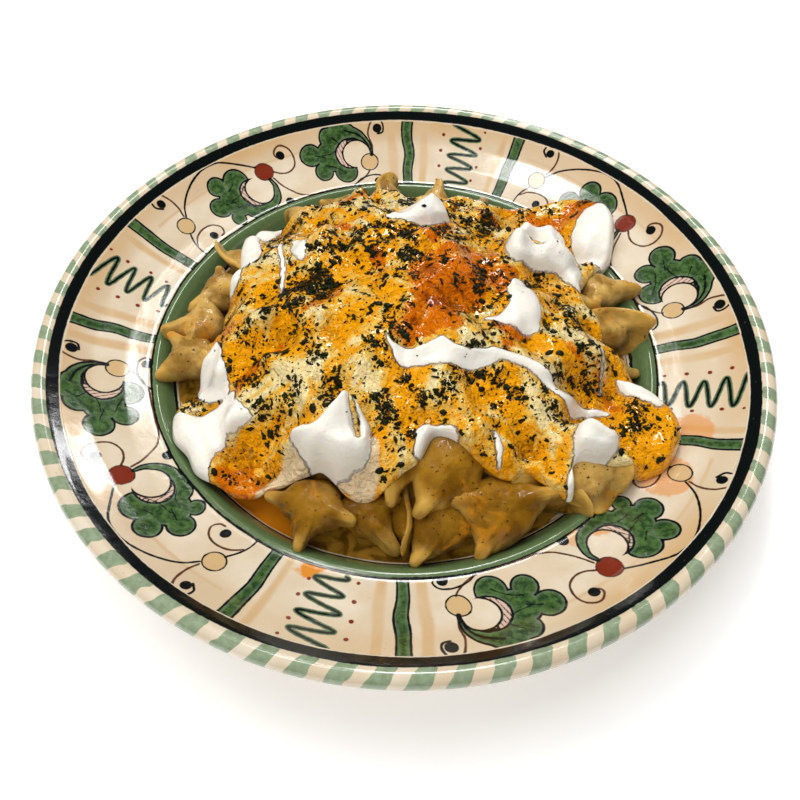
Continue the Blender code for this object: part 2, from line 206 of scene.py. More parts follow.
def readValue(tree, name):
    # The number that a piece holds at each point under this name
    return addNode(tree, "Attribute", attribute_name=name).outputs["Fac"]


def objectPlace(tree):
    return addNode(tree, "TexCoord").outputs["Object"]


def spread(tree, value, low, high, toLow=0.0, toHigh=1.0):
    # Eases a value from one range into another
    inputs = {"Value": value, "From Min": low, "From Max": high, "To Min": toLow, "To Max": toHigh}
    return addNode(tree, "MapRange", inputs, interpolation_type="SMOOTHSTEP").outputs["Result"]


def mixColour(tree, share, first, second):
    # Sockets 6 and 7 are a Mix node's two colours, and output 2 is its result
    return addNode(tree, "Mix", {0: share, 6: first, 7: second}, data_type="RGBA").outputs[2]


def calculate(tree, operation, first, second):
    return addNode(tree, "Math", {0: first, 1: second}, operation=operation).outputs[0]


def add(tree, first, second):
    return calculate(tree, "ADD", first, second)


def multiply(tree, first, second):
    return calculate(tree, "MULTIPLY", first, second)


def noise(tree, place, scale, detail=4.0, roughness=0.55, distortion=0.0):
    inputs = {"Vector": place, "Scale": scale, "Detail": detail}
    inputs = inputs | {"Roughness": roughness, "Distortion": distortion}
    return addNode(tree, "TexNoise", inputs).outputs["Fac"]


def distanceFrom(tree, place, x, y, z):
    # Distance in metres from a point given in millimetres
    middle = (x / metre, y / metre, z / metre)
    return addNode(tree, "VectorMath", {0: place, 1: middle}, operation="DISTANCE").outputs["Value"]


def addBump(tree, shader, heights):
    # Bumps one after another, as (height, strength, distance in metres)
    normal = None
    for height, strength, distance in heights:
        inputs = {"Height": height, "Strength": strength, "Distance": distance}
        if normal is not None:
            inputs["Normal"] = normal
        normal = addNode(tree, "Bump", inputs).outputs["Normal"]
    tree.links.new(normal, shader.inputs["Normal"])


def setShader(shader, **values):
    for name, value in values.items():
        shader.inputs[name.replace("_", " ")].default_value = value


# Plate

plate = {
    "top": (
        (0, 6.5), (40, 6.5), (70, 6.5), (78, 6.6), (90, 9.6), (98.9, 15.2), (102.4, 20.2), (105.2, 22.6),
        (107.8, 22.1), (118, 25.5), (130, 30.7), (139, 36.4), (143.5, 39.6),
    ),
    "lipCentre": (146.4, 37.2),
    "lipRadius": 3.5,
    "underside": ((128.0, 23.4), (108.0, 15.0), (90.0, 5.4), (78.5, 2.2), (76.0, 0.15), (73.0, 0.0)),
    "footInside": ((70.0, 0.15), (68.5, 2.6), (30.0, 2.7), (0.0, 2.7)),
    "rimStart": 107.2,
    "rimEnd": 139.0,
    "rimRows": 104,
    "rimColumns": 900,
    "wellColumns": 480,
    "lipColumns": 740,
    "ring": (99.0, 107.0),
    "ringEdges": (99.0, 107.4),
    "edgeHalfWidth": 0.5,
    "band": (139.7, 143.6),
    "stripeCount": 74,
    "stripeHalfShare": 0.27,
    # How far along the outside's line the stripes start and end
    "stripeReach": (5.2, 15.5),
    "cream": (0.68, 0.55, 0.38, 1.0),
    "paleCream": (0.76, 0.66, 0.51, 1.0),
    "tan": (0.60, 0.36, 0.14, 1.0),
    "green": (0.018, 0.050, 0.014, 1.0),
    "brightGreen": (0.075, 0.150, 0.038, 1.0),
    "leafEdge": (0.24, 0.32, 0.20, 1.0),
    "ringGreen": (0.115, 0.175, 0.070, 1.0),
    "paleGreen": (0.22, 0.28, 0.17, 1.0),
    "brightStripe": (0.30, 0.38, 0.24, 1.0),
    "ink": (0.004, 0.006, 0.006, 1.0),
    "brown": (0.10, 0.035, 0.015, 1.0),
    "red": (0.20, 0.022, 0.006, 1.0),
    "ochre": (0.62, 0.42, 0.20, 1.0),
    "moon": (0.66, 0.47, 0.36, 1.0),
    "speck": (0.30, 0.18, 0.09, 1.0),
    "butter": (0.70, 0.24, 0.008, 1.0),
    # Drops and stains of butter on the rim: x, y, z, half-width and strength
    "drops": (
        (-31.5, -105.6, 22.6, 3.4, 1.2), (-28, -104, 22.6, 2, 1.1), (-36, -106, 22.6, 1.2, 0.9),
        (73, -83, 22.9, 6, 0.7), (64, -90, 22.9, 4, 0.5), (100, -64, 27, 10, 0.6), (114, -44, 28, 8, 0.6),
        (88, -80, 27, 6, 0.35),
    ),
}

# One quarter of the rim's ornament: how far along from its first bar and how far up from the green ring
ornament = {
    "quarter": 193.2,
    "firstBar": 156.3,
    "beforeBar": 6.2,
    "ringRadius": 107.5,
    "bars": (
        ((0.0, -2.0), (0.3, 8.0), (-0.2, 16.0), (0.3, 24.0), (0.0, 34.0)),
        ((141.4, -2.0), (141.0, 8.0), (141.8, 16.0), (140.7, 24.0), (140.6, 34.0)),
    ),
    "barWidth": 4.7,
    "arch": ((20, 19), (24, 23.8), (31, 28.2), (39.5, 31.4), (46, 32), (51, 31), (57, 27.5), (64, 23)),
    "lines": (
        ((15, 12), (12.5, 8), (11, 4), (10.5, -1)),
        ((13, 32), (12.9, 29.5), (15, 27.5)),
        ((111, 29), (117, 26.5), (121, 22), (122.4, 16.5)),
        ((110, 0), (115, 3.5), (121, 5.2), (126.4, 4.8), (129, 2.2), (127.6, 0)),
        ((126.6, 26.5), (129, 27.2), (129.5, 29.5), (128.6, 32)),
    ),
    "tendrils": (
        ((19, 32), (20.4, 28.5), (20.6, 24), (19.4, 20)),
        ((12, 5.8), (16, 8.8), (21.5, 10), (26.5, 9), (29.2, 5.8), (28, 2.8), (25.6, 2.2)),
        ((71, 18), (74.4, 16), (78.4, 15.6), (82, 17.5), (83.5, 21.2), (83, 25.6), (80.6, 28.2), (78, 28.5),
         (75.6, 26.5), (75.6, 24.5), (77.6, 23.8)),
        ((69.6, 15), (72, 10.4), (75.2, 6), (78.6, 2.8), (84.6, 0.8), (92, 0.4), (101, 0.4), (109.6, 0.8),
         (115.2, 3), (119.4, 6.2), (121, 8.5)),
        ((123, 17), (123.2, 21.6), (122, 26.2), (123, 30.4), (124.4, 33)),
    ),
    "circles": ((16.5, 15.8, 4.1), (121.2, 12.5, 4.4)),
    "berries": ((66.9, 19.4, 4.4),),
    "dots": ((16, 29.4, 1.8), (22.8, 4.5, 2.1), (77.8, 24.5, 2.0), (126.6, 29, 2.1), (125, 1.4, 2.4),
             (71, 0.8, 2.5)),
    "leaves": (
        {
            "lobes": ((40.5, 4.2, 3.6), (37, 13.2, 5), (42.6, 22.4, 4.6), (52, 20.5, 6), (46, 12, 8.2),
                      (51, 5, 5), (56, 3.2, 3.8)),
            "tail": ((57, 3, 2.5), (62, 3.4, 2.5), (66.4, 6.2, 1.9), (68.5, 10.8, 1.1), (67.6, 15, 0.5)),
            "bite": (60, 12, 7.1),
            "moon": (56.9, 12, 7.1),
            "veins": (((44, 13), (50, 14), (54, 17)), ((44, 9), (49, 8), (53, 5)), ((46, 18), (50, 20)),
                      ((40, 13), (45, 12))),
        },
        {
            "lobes": ((103, 26.6, 4.8), (108, 29.5, 4.6), (112, 28.4, 3.8), (92, 20.4, 5.4), (96, 10.8, 4.8),
                      (108, 8.8, 6), (102, 18, 7.8), (105.2, 24.4, 6)),
            "tail": ((111.5, 29, 3.0), (117, 26.5, 2.2), (121, 22, 1.4), (122.4, 16.5, 0.6)),
            "bite": (115, 17.2, 7.0),
            "moon": (112, 17.8, 7.4),
            "veins": (((98, 19), (104, 20), (109, 25)), ((98, 14), (103, 12), (108, 8)),
                      ((94, 20), (99, 18)), ((104, 27), (107, 24))),
        },
    ),
    # How far apart the fine lines on each leaf's underside are
    "hatch": 1.55,
    "zigzag": {"middle": 168.7, "reach": 6.7, "periods": 4.1, "lean": 0.8, "top": 31.6, "fall": 31.0},
    # Brushed tan lines: how far along and how wide
    "washes": ((133.5, 3.4), (149.0, 3.2), (187.5, 3.2), (-6.5, 2.6)),
    "zigzagDots": ((158, 27, 0.8), (157.8, 19.4, 0.9), (157.8, 11.2, 0.9), (158, 3, 0.8),
                   (177.1, 30.6, 0.6), (176.6, 23.4, 0.8), (177.6, 13.1, 0.8), (177, 5.8, 0.8)),
    "outline": 0.85,
}


def plateProfile(points, step=0.4, softness=1.0):
    # A line through (radius, height) in even steps, its corners rounded by a bell-shaped average
    known = np.asarray(points, dtype=float)
    lengths = np.append(0.0, np.cumsum(np.hypot(*np.diff(known, axis=0).T)))
    places = np.linspace(0.0, lengths[-1], int(lengths[-1] / step) + 1)
    line = np.stack([np.interp(places, lengths, column) for column in known.T], axis=-1)
    reach = int(3.0 * softness / step)
    weights = np.exp(-0.5 * (np.arange(-reach, reach + 1) * step / softness) ** 2)
    padded = np.vstack([2.0 * line[0] - line[reach:0:-1], line, 2.0 * line[-1] - line[-2 : -reach - 2 : -1]])
    even = [np.convolve(padded[:, column], weights / weights.sum(), mode="valid") for column in (0, 1)]
    return np.stack(even, axis=-1)


topLine = plateProfile(plate["top"])


def topHeight(distance):
    # Height of the plate's upper side at this distance from its middle
    return np.interp(distance, topLine[:, 0], topLine[:, 1])


def farFrom(values):
    # For each value a distance far outside every brushstroke
    return np.full(np.shape(values), 50.0)


def paintRim(angle, distance):
    # Distance in millimetres to the edge of each colour's brushwork, negative inside it
    wobble = lumps(angle * 1.1, distance, 9.0, 3)
    quarter = ornament["quarter"]
    along = ((ornament["firstBar"] - angle) % 90.0) * quarter / 90.0 + 0.45 * wobble
    # What lies just before the quarter's first bar counts as less than nought
    along = np.where(along > quarter - ornament["beforeBar"], along - quarter, along)
    up = distance - ornament["ringRadius"] + 0.35 * lumps(angle * 1.3, distance, 11.0, 4)
    line = ornament["outline"]
    far = farFrom(along)
    ink = nearest(*(stroke(along, up, points, line) for points in (ornament["arch"], *ornament["lines"])))
    brown = nearest(*(stroke(along, up, points, line) for points in ornament["tendrils"]))
    green = far
    for points in ornament["bars"]:
        bar = stroke(along, up, points, ornament["barWidth"])
        green = np.minimum(green, bar)
        ink = np.minimum(ink, np.abs(bar) - line / 2.0)
    ochre = nearest(*(disc(along, up, circle) for circle in ornament["circles"]))
    berries = nearest(*(disc(along, up, circle) for circle in ornament["berries"]))
    ink = nearest(ink, np.abs(ochre) - 0.75 * line / 2.0, np.abs(berries) - 0.5 * line / 2.0)
    moon = far
    for leaf in ornament["leaves"]:
        lobes = [disc(along, up, lobe) for lobe in leaf["lobes"]]
        bite = disc(along, up, leaf["bite"])
        whole = np.maximum(nearest(*lobes, stroke(along, up, leaf["tail"], 0.0)), -bite)
        half = np.maximum(disc(along, up, leaf["moon"]), -bite)
        moon = np.minimum(moon, half)
        hatch = np.abs(((along + 0.25 * up) / ornament["hatch"]) % 1.0 - 0.5) * ornament["hatch"] - 0.2
        veins = [stroke(along, up, vein, 0.5) for vein in leaf["veins"]]
        edges = nearest(np.abs(whole), np.abs(half)) - line / 2.0
        ink = nearest(ink, edges, np.maximum(hatch, half + 0.3), *veins)
        green = np.minimum(green, np.maximum(whole, -half))
    zigzag = ornament["zigzag"]
    turns = np.linspace(0.0, 2.0 * np.pi * zigzag["periods"], int(12 * zigzag["periods"]))
    lines = zigzag["middle"] - zigzag["reach"] * np.cos(turns)
    falls = zigzag["top"] - zigzag["fall"] * turns / turns[-1] + zigzag["lean"] * np.cos(turns)
    spring = stroke(along, up, np.stack((lines, falls), axis=-1), 0.0)
    ink = np.minimum(ink, spring - 0.48)
    green = np.minimum(green, spring - 1.0)
    red = nearest(berries, *(disc(along, up, dot) for dot in ornament["zigzagDots"]))
    ink = nearest(ink, *(disc(along, up, dot) for dot in ornament["dots"]))
    # Brushed tan: along the outer band and beside the bars and the zigzag
    wash = ease(up, 17.0, 31.0) * (0.55 + 0.45 * lumps(angle, distance, 14.0, 21))
    for middle, width in ornament["washes"]:
        streak = 1.0 - ease(np.abs(along - middle + 0.6 * lumps(along, up, 12.0, 5)), 0.3 * width, width)
        wash = np.maximum(wash, 0.75 * streak)
    thin = 1.0 - ease(np.abs(up - 23.5 - 1.2 * lumps(angle, distance, 20.0, 8)), 0.3, 1.1)
    wash = np.maximum(wash, 0.6 * thin * (np.abs(along - 55.0) < 48.0))
    paint = {"ink": ink, "green": green, "brown": brown, "ochre": ochre, "red": red, "moon": moon}
    return paint | {"wash": wash}


def paintRing(angle, distance, paint):
    # The green ring over the well with its black edges, and the black band inside the lip
    wobble = 0.35 * lumps(angle, distance, 7.0, 31)
    ringStart, ringEnd = plate["ring"]
    bandStart, bandEnd = plate["band"]
    ring = np.maximum(ringStart - distance, distance - ringEnd) + wobble
    paint["green"] = np.minimum(paint["green"], ring)
    band = np.maximum(bandStart - distance, distance - bandEnd) + 0.6 * wobble
    edges = [np.abs(distance - edge + wobble) - plate["edgeHalfWidth"] for edge in plate["ringEdges"]]
    paint["ink"] = nearest(paint["ink"], band, *edges)
    return paint


def paintPlain(angle, distance):
    far = farFrom(angle)
    names = ("ink", "green", "brown", "ochre", "red", "moon")
    return paintRing(angle, distance, {**{name: far for name in names}, "wash": 0.0 * far})


def platePiece(name, line, firstAngle, lastAngle, columns, paintBy, stripes=None):
    # The profile turned about the plate's axis from one angle to another
    closed = lastAngle - firstAngle > 359.0
    angles = np.linspace(firstAngle, lastAngle, columns, endpoint=not closed)
    distance, angle = np.meshgrid(line[:, 0], angles, indexing="ij")
    height = np.repeat(line[:, 1:], columns, axis=1)
    x, y = polarPlace(angle, distance)
    points = pointRows(x, y, height)
    faces = [gridFaces(len(line), columns, closed)]
    piece = addPiece(name, points, faces, plateMaterial, "plate")
    paint = paintBy(angle, distance)
    paint["stripe"] = farFrom(angle) if stripes is None else stripes(angle, line)
    for kind, values in paint.items():
        addValues(piece, kind, values)


def lipStripes(angle, line):
    # Slanted stripes round the lip, which fade out on the underside
    arc = np.append(0.0, np.cumsum(np.hypot(*np.diff(line, axis=0).T)))[:, None]
    pitch = 360.0 / plate["stripeCount"]
    slanted = angle + 0.20 * arc + 0.35 * lumps(angle * 2.0, arc + 0.0 * angle, 3.0, 12)
    width = plate["stripeHalfShare"] + 0.03 * lumps(angle * 3.0, 0.0 * angle, 6.0, 14)
    # A degree is 2.55 mm long at the lip
    away = (np.abs((slanted / pitch) % 1.0 - 0.5) - width) * pitch * 2.55
    start, end = plate["stripeReach"]
    return np.maximum(away, np.maximum(start - arc, arc - end))


def makePlate():
    lipX, lipZ = plate["lipCentre"]
    acrossLip, upLip = polarPlace(np.linspace(128.0, -62.0, 16), plate["lipRadius"])
    lip = np.stack((lipX + acrossLip, lipZ + upLip), axis=-1)
    outer = topLine[topLine[:, 0] >= plate["rimEnd"]][:-2]
    below = np.array([*plate["underside"], *plate["footInside"]])
    outside = plateProfile([*outer.tolist(), *lip.tolist(), *below.tolist()], step=0.8, softness=0.6)
    outside = outside[outside[:, 0] > 0.5]
    rim = topLine[(topLine[:, 0] >= plate["rimStart"] - 0.3) & (topLine[:, 0] <= plate["rimEnd"] + 0.6)]
    places, known = np.linspace(0.0, 1.0, plate["rimRows"]), np.linspace(0.0, 1.0, len(rim))
    rimLine = np.stack([np.interp(places, known, column) for column in rim.T], axis=1)
    rimLine[0] = (plate["rimStart"], topHeight(plate["rimStart"]))
    rimLine[-1] = outside[0]
    well = topLine[topLine[:, 0] < plate["rimStart"]][1::2]
    well = np.vstack((well, rimLine[:1]))

    def paintHalf(angle, distance):
        return paintRing(angle, distance, paintRim(angle, distance))

    platePiece("plateRimRight", rimLine, -90.0, 90.0, plate["rimColumns"], paintHalf)
    platePiece("plateRimLeft", rimLine, 90.0, 270.0, plate["rimColumns"], paintHalf)
    platePiece("plateWell", well, 0.0, 360.0, plate["wellColumns"], paintPlain)
    platePiece("plateLip", outside, 0.0, 360.0, plate["lipColumns"], paintPlain, lipStripes)


def makePlateMaterial():
    # Cream glaze with brushed tan, then each colour laid on where its distance falls below nought
    material, tree, shader = newMaterial("paintedGlaze")
    place = objectPlace(tree)
    clouds = noise(tree, place, 45.0, 5.0)
    fine = noise(tree, place, 420.0, 5.0, 0.65)
    base = mixColour(tree, spread(tree, clouds, 0.35, 0.7), plate["cream"], plate["paleCream"])
    patchy = spread(tree, clouds, 0.25, 0.6, 0.45, 1.0)
    streaks = multiply(tree, readValue(tree, "wash"), patchy)
    colour = mixColour(tree, streaks, base, plate["tan"])
    leafShade = mixColour(tree, spread(tree, fine, 0.38, 0.66), plate["green"], plate["brightGreen"])
    edge = spread(tree, readValue(tree, "green"), -1.9, -0.2)
    leafShade = mixColour(tree, multiply(tree, edge, 0.35), leafShade, plate["leafEdge"])
    stripeShade = mixColour(tree, spread(tree, fine, 0.3, 0.7), plate["paleGreen"], plate["brightStripe"])
    ragged = multiply(tree, noise(tree, place, 260.0, 4.0, 0.6), 0.006)
    for x, y, z, halfWidth, strength in plate["drops"]:
        away = add(tree, distanceFrom(tree, place, x, y, z), ragged)
        share = spread(tree, away, 0.001 * halfWidth + 0.004, 0.001 * halfWidth + 0.0022, 0.0, strength)
        colour = mixColour(tree, share, colour, plate["butter"])
    parts = addNode(tree, "SeparateXYZ", {0: place}).outputs
    flat = addNode(tree, "CombineXYZ", {0: parts["X"], 1: parts["Y"]}).outputs[0]
    distance = addNode(tree, "VectorMath", {0: flat}, operation="LENGTH").outputs["Value"]
    ring = spread(tree, distance, 0.1080, 0.1072, 0.0, 0.8)
    leafShade = mixColour(tree, ring, leafShade, plate["ringGreen"])
    layers = (
        ("moon", plate["moon"]),
        ("ochre", plate["ochre"]),
        ("stripe", stripeShade),
        ("green", leafShade),
        ("red", plate["red"]),
        ("brown", plate["brown"]),
        ("ink", plate["ink"]),
    )
    for name, shade in layers:
        ragged = add(tree, readValue(tree, name), multiply(tree, fine, 0.5))
        colour = mixColour(tree, spread(tree, ragged, 0.42, 0.08), colour, shade)
    specks = spread(tree, noise(tree, place, 900.0, 2.0, 0.5), 0.72, 0.76)
    colour = mixColour(tree, multiply(tree, specks, 0.35), colour, plate["speck"])
    tree.links.new(colour, shader.inputs["Base Color"])
    setShader(shader, Roughness=0.16, IOR=1.5, Coat_Weight=0.6, Coat_Roughness=0.05, Coat_IOR=1.5)
    addBump(tree, shader, ((clouds, 0.25, 0.002), (fine, 0.12, 0.0004)))
    return material


plateMaterial = makePlateMaterial()
makePlate()


# Heap: where every dumpling lies, and the height of the filler under them

heap = {
    "radius": 92.0,
    "base": 12.0,
    "rise": 35.0,
    "power": 2.4,
    "coreRadius": 86.0,
    "hiddenRings": ((0.0, 1), (23.0, 5), (45.0, 10), (66.0, 14)),
    # How many of the hidden ones lie too deep to be made; they only lift the yogurt
    "deepCount": 16,
    "hiddenSink": 1.0,
    "hiddenSeed": 11,
    "hiddenSize": 13.6,
    "fillerFoot": 9.0,
    "brothLevel": 14.2,
}

dough = {
    # Angle, distance out, height, turn, lean outwards and half-width of each dumpling that shows
    "shown": (
        (-111.5, 87, 25, 0, 16, 14.5), (-99, 83, 22, 0, 14, 12.5), (-90, 83, 17.5, 20, 8, 11.5),
        (-80.5, 87, 22, 0, 20, 13), (-76, 71, 33.5, 0, 28, 14.5), (-65.5, 88, 24, 0, 18, 15),
        (-53, 89, 20.5, 55, 16, 12.5), (-44, 96, 29, 20, 14, 13), (-9, 86, 22.5, 40, 16, 12),
        (5, 87, 24, 15, 10, 12.5), (20, 92, 25, 2, 8, 13), (68, 88, 23, 30, 8, 13),
        (82, 88, 22.5, 75, 8, 12.5), (95, 88, 22.5, 10, 10, 13.5), (109, 88, 22.5, 55, 6, 13),
        (123, 88, 22.5, 35, 10, 13.5), (149, 86, 23.5, 20, 12, 13), (163, 86, 23.5, 64, 10, 12.5),
        (176, 88, 24, 25, 14, 13), (188, 89, 23.5, 4, 10, 13),
    ),
    # Arms of the front ones: direction, where 0 is straight out and 90 to the right of it, length and curl;
    # the others draw theirs
    "arms": {
        0: ((4.0, 1.05, -0.15), (84.0, 0.95, 0.40), (-80.0, 1.0, 0.15)),
        1: ((40.0, 1.45, -0.25), (125.0, 0.8, 0.3), (-80.0, 0.9, 0.1)),
        3: ((-36.0, 1.15, 0.1), (70.0, 0.5, 0.0), (170.0, 0.9, 0.3)),
        4: ((-48.0, 1.1, 0.2), (132.0, 1.1, 0.2), (45.0, 0.2, 0.0)),
        5: ((82.0, 1.40, 0.2), (-42.0, 0.85, -0.2), (-125.0, 0.9, 0.2)),
        10: ((-15.0, 1.35, 0.2), (100.0, 0.7, 0.0), (220.0, 0.8, 0.0)),
        18: ((0.0, 1.2, 0.2), (70.0, 0.9, 0.2), (-100.0, 0.9, 0.0)),
        19: ((20.0, 1.1, 0.1), (-60.0, 1.0, 0.3), (150.0, 0.9, 0.0)),
    },
    "full": {4: 1.3, 5: 1.25, 3: 1.1},
    # Up the side of a dumpling of half-width 1: reach, height, and how far its arms stand out and rise
    "side": (
        (0, -0.48, 0, 0), (0.36, -0.46, 0.02, 0), (0.56, -0.36, 0.14, 0.02), (0.63, -0.21, 0.46, -0.02),
        (0.66, -0.02, 0.60, 0), (0.64, 0.16, 0.59, 0.05), (0.56, 0.31, 0.44, 0.09),
        (0.40, 0.43, 0.16, 0.07), (0.18, 0.51, 0.04, 0.02), (0, 0.53, 0, 0),
    ),
    "tumble": 24.0,
    # Across a folded dumpling: reach, height and share of its pressed border
    "foldedSide": (
        (0, -0.42, 0), (0.36, -0.40, 0), (0.60, -0.30, 0), (0.72, -0.17, 0.08), (0.76, -0.11, 0.50),
        (0.78, -0.10, 0.95), (0.79, 0, 1.08), (0.78, 0.10, 0.95), (0.76, 0.13, 0.50), (0.72, 0.19, 0.08),
        (0.60, 0.33, 0), (0.36, 0.47, 0), (0, 0.50, 0),
    ),
    # Which of the dumplings that show are folded flat, and how far each of those is tipped on its side
    "folded": {2: 65.0, 6: 70.0, 7: 20.0, 9: 50.0, 13: 60.0, 16: 50.0},
    "armJitter": 14.0,
    "armLengths": (0.75, 1.3),
    "armCurls": (-0.2, 0.35),
    "seed": 3,
    "finHalfWidth": 2.3,
    "rows": 40,
    "columns": 96,
    "colour": (0.19, 0.078, 0.003, 1.0),
    "paleColour": (0.37, 0.180, 0.012, 1.0),
    "backlitColour": (0.70, 0.44, 0.12, 1.0),
    "deepColour": (0.055, 0.020, 0.001, 1.0),
    "paleEdgeAndHighlight": (0.62, 0.37, 0.075, 1.0),
    "butterColour": (0.56, 0.22, 0.008, 1.0),
    "speckColour": (0.030, 0.018, 0.005, 1.0),
}


def domeHeight(distance):
    # Height of the filler's dome, which falls off with a power of the distance out
    share = np.minimum(np.abs(distance) / heap["radius"], 1.0)
    return heap["base"] + heap["rise"] * (1.0 - share ** heap["power"]) ** 0.8


def hiddenPlaces():
    # Ring by ring: angle, distance out and height of each dumpling under the yogurt, a little out of line
    draw = random.Random(heap["hiddenSeed"])
    found = []
    for ring, (distance, count) in enumerate(heap["hiddenRings"]):
        for place in range(count):
            angle = 360.0 * (place + 0.5 * (ring % 2) + draw.uniform(-0.18, 0.18)) / count
            out = distance + draw.uniform(-3.0, 3.0)
            lift = draw.uniform(-2.0, 2.0)
            found.append((angle, out, float(domeHeight(out)) - heap["hiddenSink"] + lift))
    return found


def drawArms(draw):
    # Three or four arms round a dumpling, each with its direction, length and curl
    count = draw.choice((3, 3, 4))
    arms = []
    for place in range(count):
        direction = 360.0 * place / count + draw.uniform(-dough["armJitter"], dough["armJitter"])
        arms.append((direction, draw.uniform(*dough["armLengths"]), draw.uniform(*dough["armCurls"])))
    return tuple(arms)


def pinchedPoints(arms, full, halfWidth, seed):
    # Reach and height follow the side's curve; each arm is a blunt peak in angle with a wide foot, so that
    # smooth hollow webs run between the arms
    side = smoothLine(dough["side"], perSpan=8)
    share = np.linspace(0.0, 1.0, dough["rows"])[:, None]
    known = np.linspace(0.0, 1.0, len(side))
    reach, rise, flare, lift = (np.interp(share[:, 0], known, side[:, k])[:, None] for k in range(4))
    reach = np.maximum(reach, 0.0)
    arms = sorted((direction % 360.0, length, curl) for direction, length, curl in arms)
    perArm = dough["columns"] // len(arms)
    steps = np.arange(perArm) / perArm
    steps = steps - 0.8 * np.sin(2.0 * np.pi * steps) / (2.0 * np.pi)
    edges = [arm[0] for arm in arms] + [arms[0][0] + 360.0]
    spans = [first + (last - first) * steps for first, last in zip(edges, edges[1:])]
    angles = np.concatenate(spans)[None, :]
    arm = 0.0
    curled = 0.0
    for number, (direction, length, curl) in enumerate(arms):
        bend = 24.0 * lumps(share * 2.0, number + 0.0 * share, 1.0, seed + number)
        away = (angles - direction - bend * share + 180.0) % 360.0 - 180.0
        armReach = halfWidth * np.maximum(reach + 0.6 * flare * length, 0.14)
        width = np.degrees(dough["finHalfWidth"] / armReach)
        own = 0.45 * np.exp(-((away / width) ** 4)) + 0.55 / (1.0 + (away / (2.6 * width)) ** 2)
        arm = np.maximum(arm, length * own)
        curled = curled + curl * own
    uneven = 0.07 * rough(angles / 22.0 + 0.0 * reach, share * 3.0 + 0.0 * angles, 1.0, seed + 20)
    wide = reach * (full + uneven) + flare * arm
    x, y = polarPlace(angles, wide)
    z = rise + lift * arm + curled * np.maximum(wide - 0.5, 0.0) ** 1.5
    z = z + 0.05 * rough(x * 2.4, y * 2.4, 1.0, seed + 40)
    return pointRows(x, y, z)


def placeDumpling(points, angle, out, height, turn, lean, halfWidth, roll):
    # Rolled, turned and leaned about its own middle, then moved out to its place in the heap
    rolled = Matrix.Rotation(math.radians(roll), 3, "X")
    turned = Matrix.Rotation(math.radians(turn), 3, "Z") @ rolled
    leaned = Matrix.Rotation(math.radians(lean), 3, "Y")
    outwards = Matrix.Rotation(math.radians(angle), 3, "Z")
    points = points * halfWidth @ np.array(outwards @ leaned @ turned).T
    return points + np.array((*polarPlace(angle, out), height))


def foldedPoints(seed):
    # A square of dough folded flat over its filling: a cushion with a thin pressed border, its outline a
    # rounded square, bent like a saddle, with one corner turned up and waves along the border
    draw = random.Random(seed)
    side = smoothLine(dough["foldedSide"], perSpan=6)
    known = np.linspace(0.0, 1.0, len(side))
    share = np.linspace(0.0, 1.0, dough["rows"])
    reach, rise, border = (np.interp(share, known, side[:, k])[:, None] for k in range(3))
    angles = np.linspace(0.0, 2.0 * np.pi, dough["columns"], endpoint=False)[None, :]
    corner = draw.uniform(3.0, 4.5)
    square = (np.abs(np.cos(angles)) ** corner + np.abs(np.sin(angles)) ** corner) ** (-1.0 / corner)
    uneven = 1.0 + 0.06 * rough(angles * 1.3 + 0.0 * reach, 3.0 * share[:, None] + 0.0 * angles, 1.0, seed)
    wide = np.maximum(reach, 0.0) + draw.uniform(0.30, 0.42) * border
    x = wide * square * uneven * np.cos(angles) * draw.uniform(0.95, 1.15)
    y = wide * square * uneven * np.sin(angles) * draw.uniform(0.72, 0.95)
    z = rise + 0.06 * border * np.sin(5.0 * angles + draw.uniform(0.0, 6.0))
    z = z + draw.uniform(-0.35, 0.45) * (x**2 - y**2)
    z = z + draw.uniform(0.2, 0.6) * np.maximum(x + y - 0.7, 0.0) ** 1.3
    z = z + draw.uniform(-0.5, 0.2) * np.maximum(-x - 0.5, 0.0) ** 1.2
    z = z + 0.04 * rough(x * 2.2, y * 2.2, 1.0, seed + 7)
    return pointRows(x, y, z)


def tipShare(points):
    # Nought in the body and one at the arms' ends and pressed borders
    return ease(np.hypot(points[:, 0], points[:, 1]), 0.72, 1.12)


def dumplingFaces(count):
    perPiece = dough["rows"] * dough["columns"]
    single = gridFaces(dough["rows"], dough["columns"], True)
    return np.concatenate([single + number * perPiece for number in range(count)])


def makeDumplings():
    draw = random.Random(dough["seed"])
    shown = []
    tips = []
    for number, row in enumerate(dough["shown"]):
        drawn = drawArms(draw)
        roll = 0.0 if number in dough["arms"] else draw.uniform(-dough["tumble"], dough["tumble"])
        if number in dough["folded"]:
            points, roll = foldedPoints(50 + number), dough["folded"][number]
        else:
            arms = dough["arms"].get(number, drawn)
            points = pinchedPoints(arms, dough["full"].get(number, 1.0), row[-1], 50 + number)
        tips.append(tipShare(points))
        shown.append(placeDumpling(points, *row, roll))
    draw = random.Random(dough["seed"] + 1)
    hidden = []
    for number, (angle, out, height) in enumerate(hiddenPlaces()):
        lean = 30.0 * (out / heap["radius"]) ** 2
        row = (angle, out, height, draw.uniform(0.0, 90.0), lean, heap["hiddenSize"])
        points = pinchedPoints(drawArms(draw), 1.15, heap["hiddenSize"], 200 + number)
        tips.append(tipShare(points))
        hidden.append(placeDumpling(points, *row, draw.uniform(-dough["tumble"], dough["tumble"])))
    material = makeDoughMaterial()
    count = len(shown)
    deep = heap["deepCount"]
    pieces = (
        ("dumplingsShown", shown, tips[:count]),
        ("dumplingsUnder", hidden[deep:], tips[count + deep :]),
    )
    for name, made, shares in pieces:
        faces = [dumplingFaces(len(made))]
        piece = addPiece(name, np.vstack(made), faces, material, "dumplings")
        addValues(piece, "tip", np.concatenate(shares))
    makeCore(material)
    return np.vstack((*shown, *hidden))


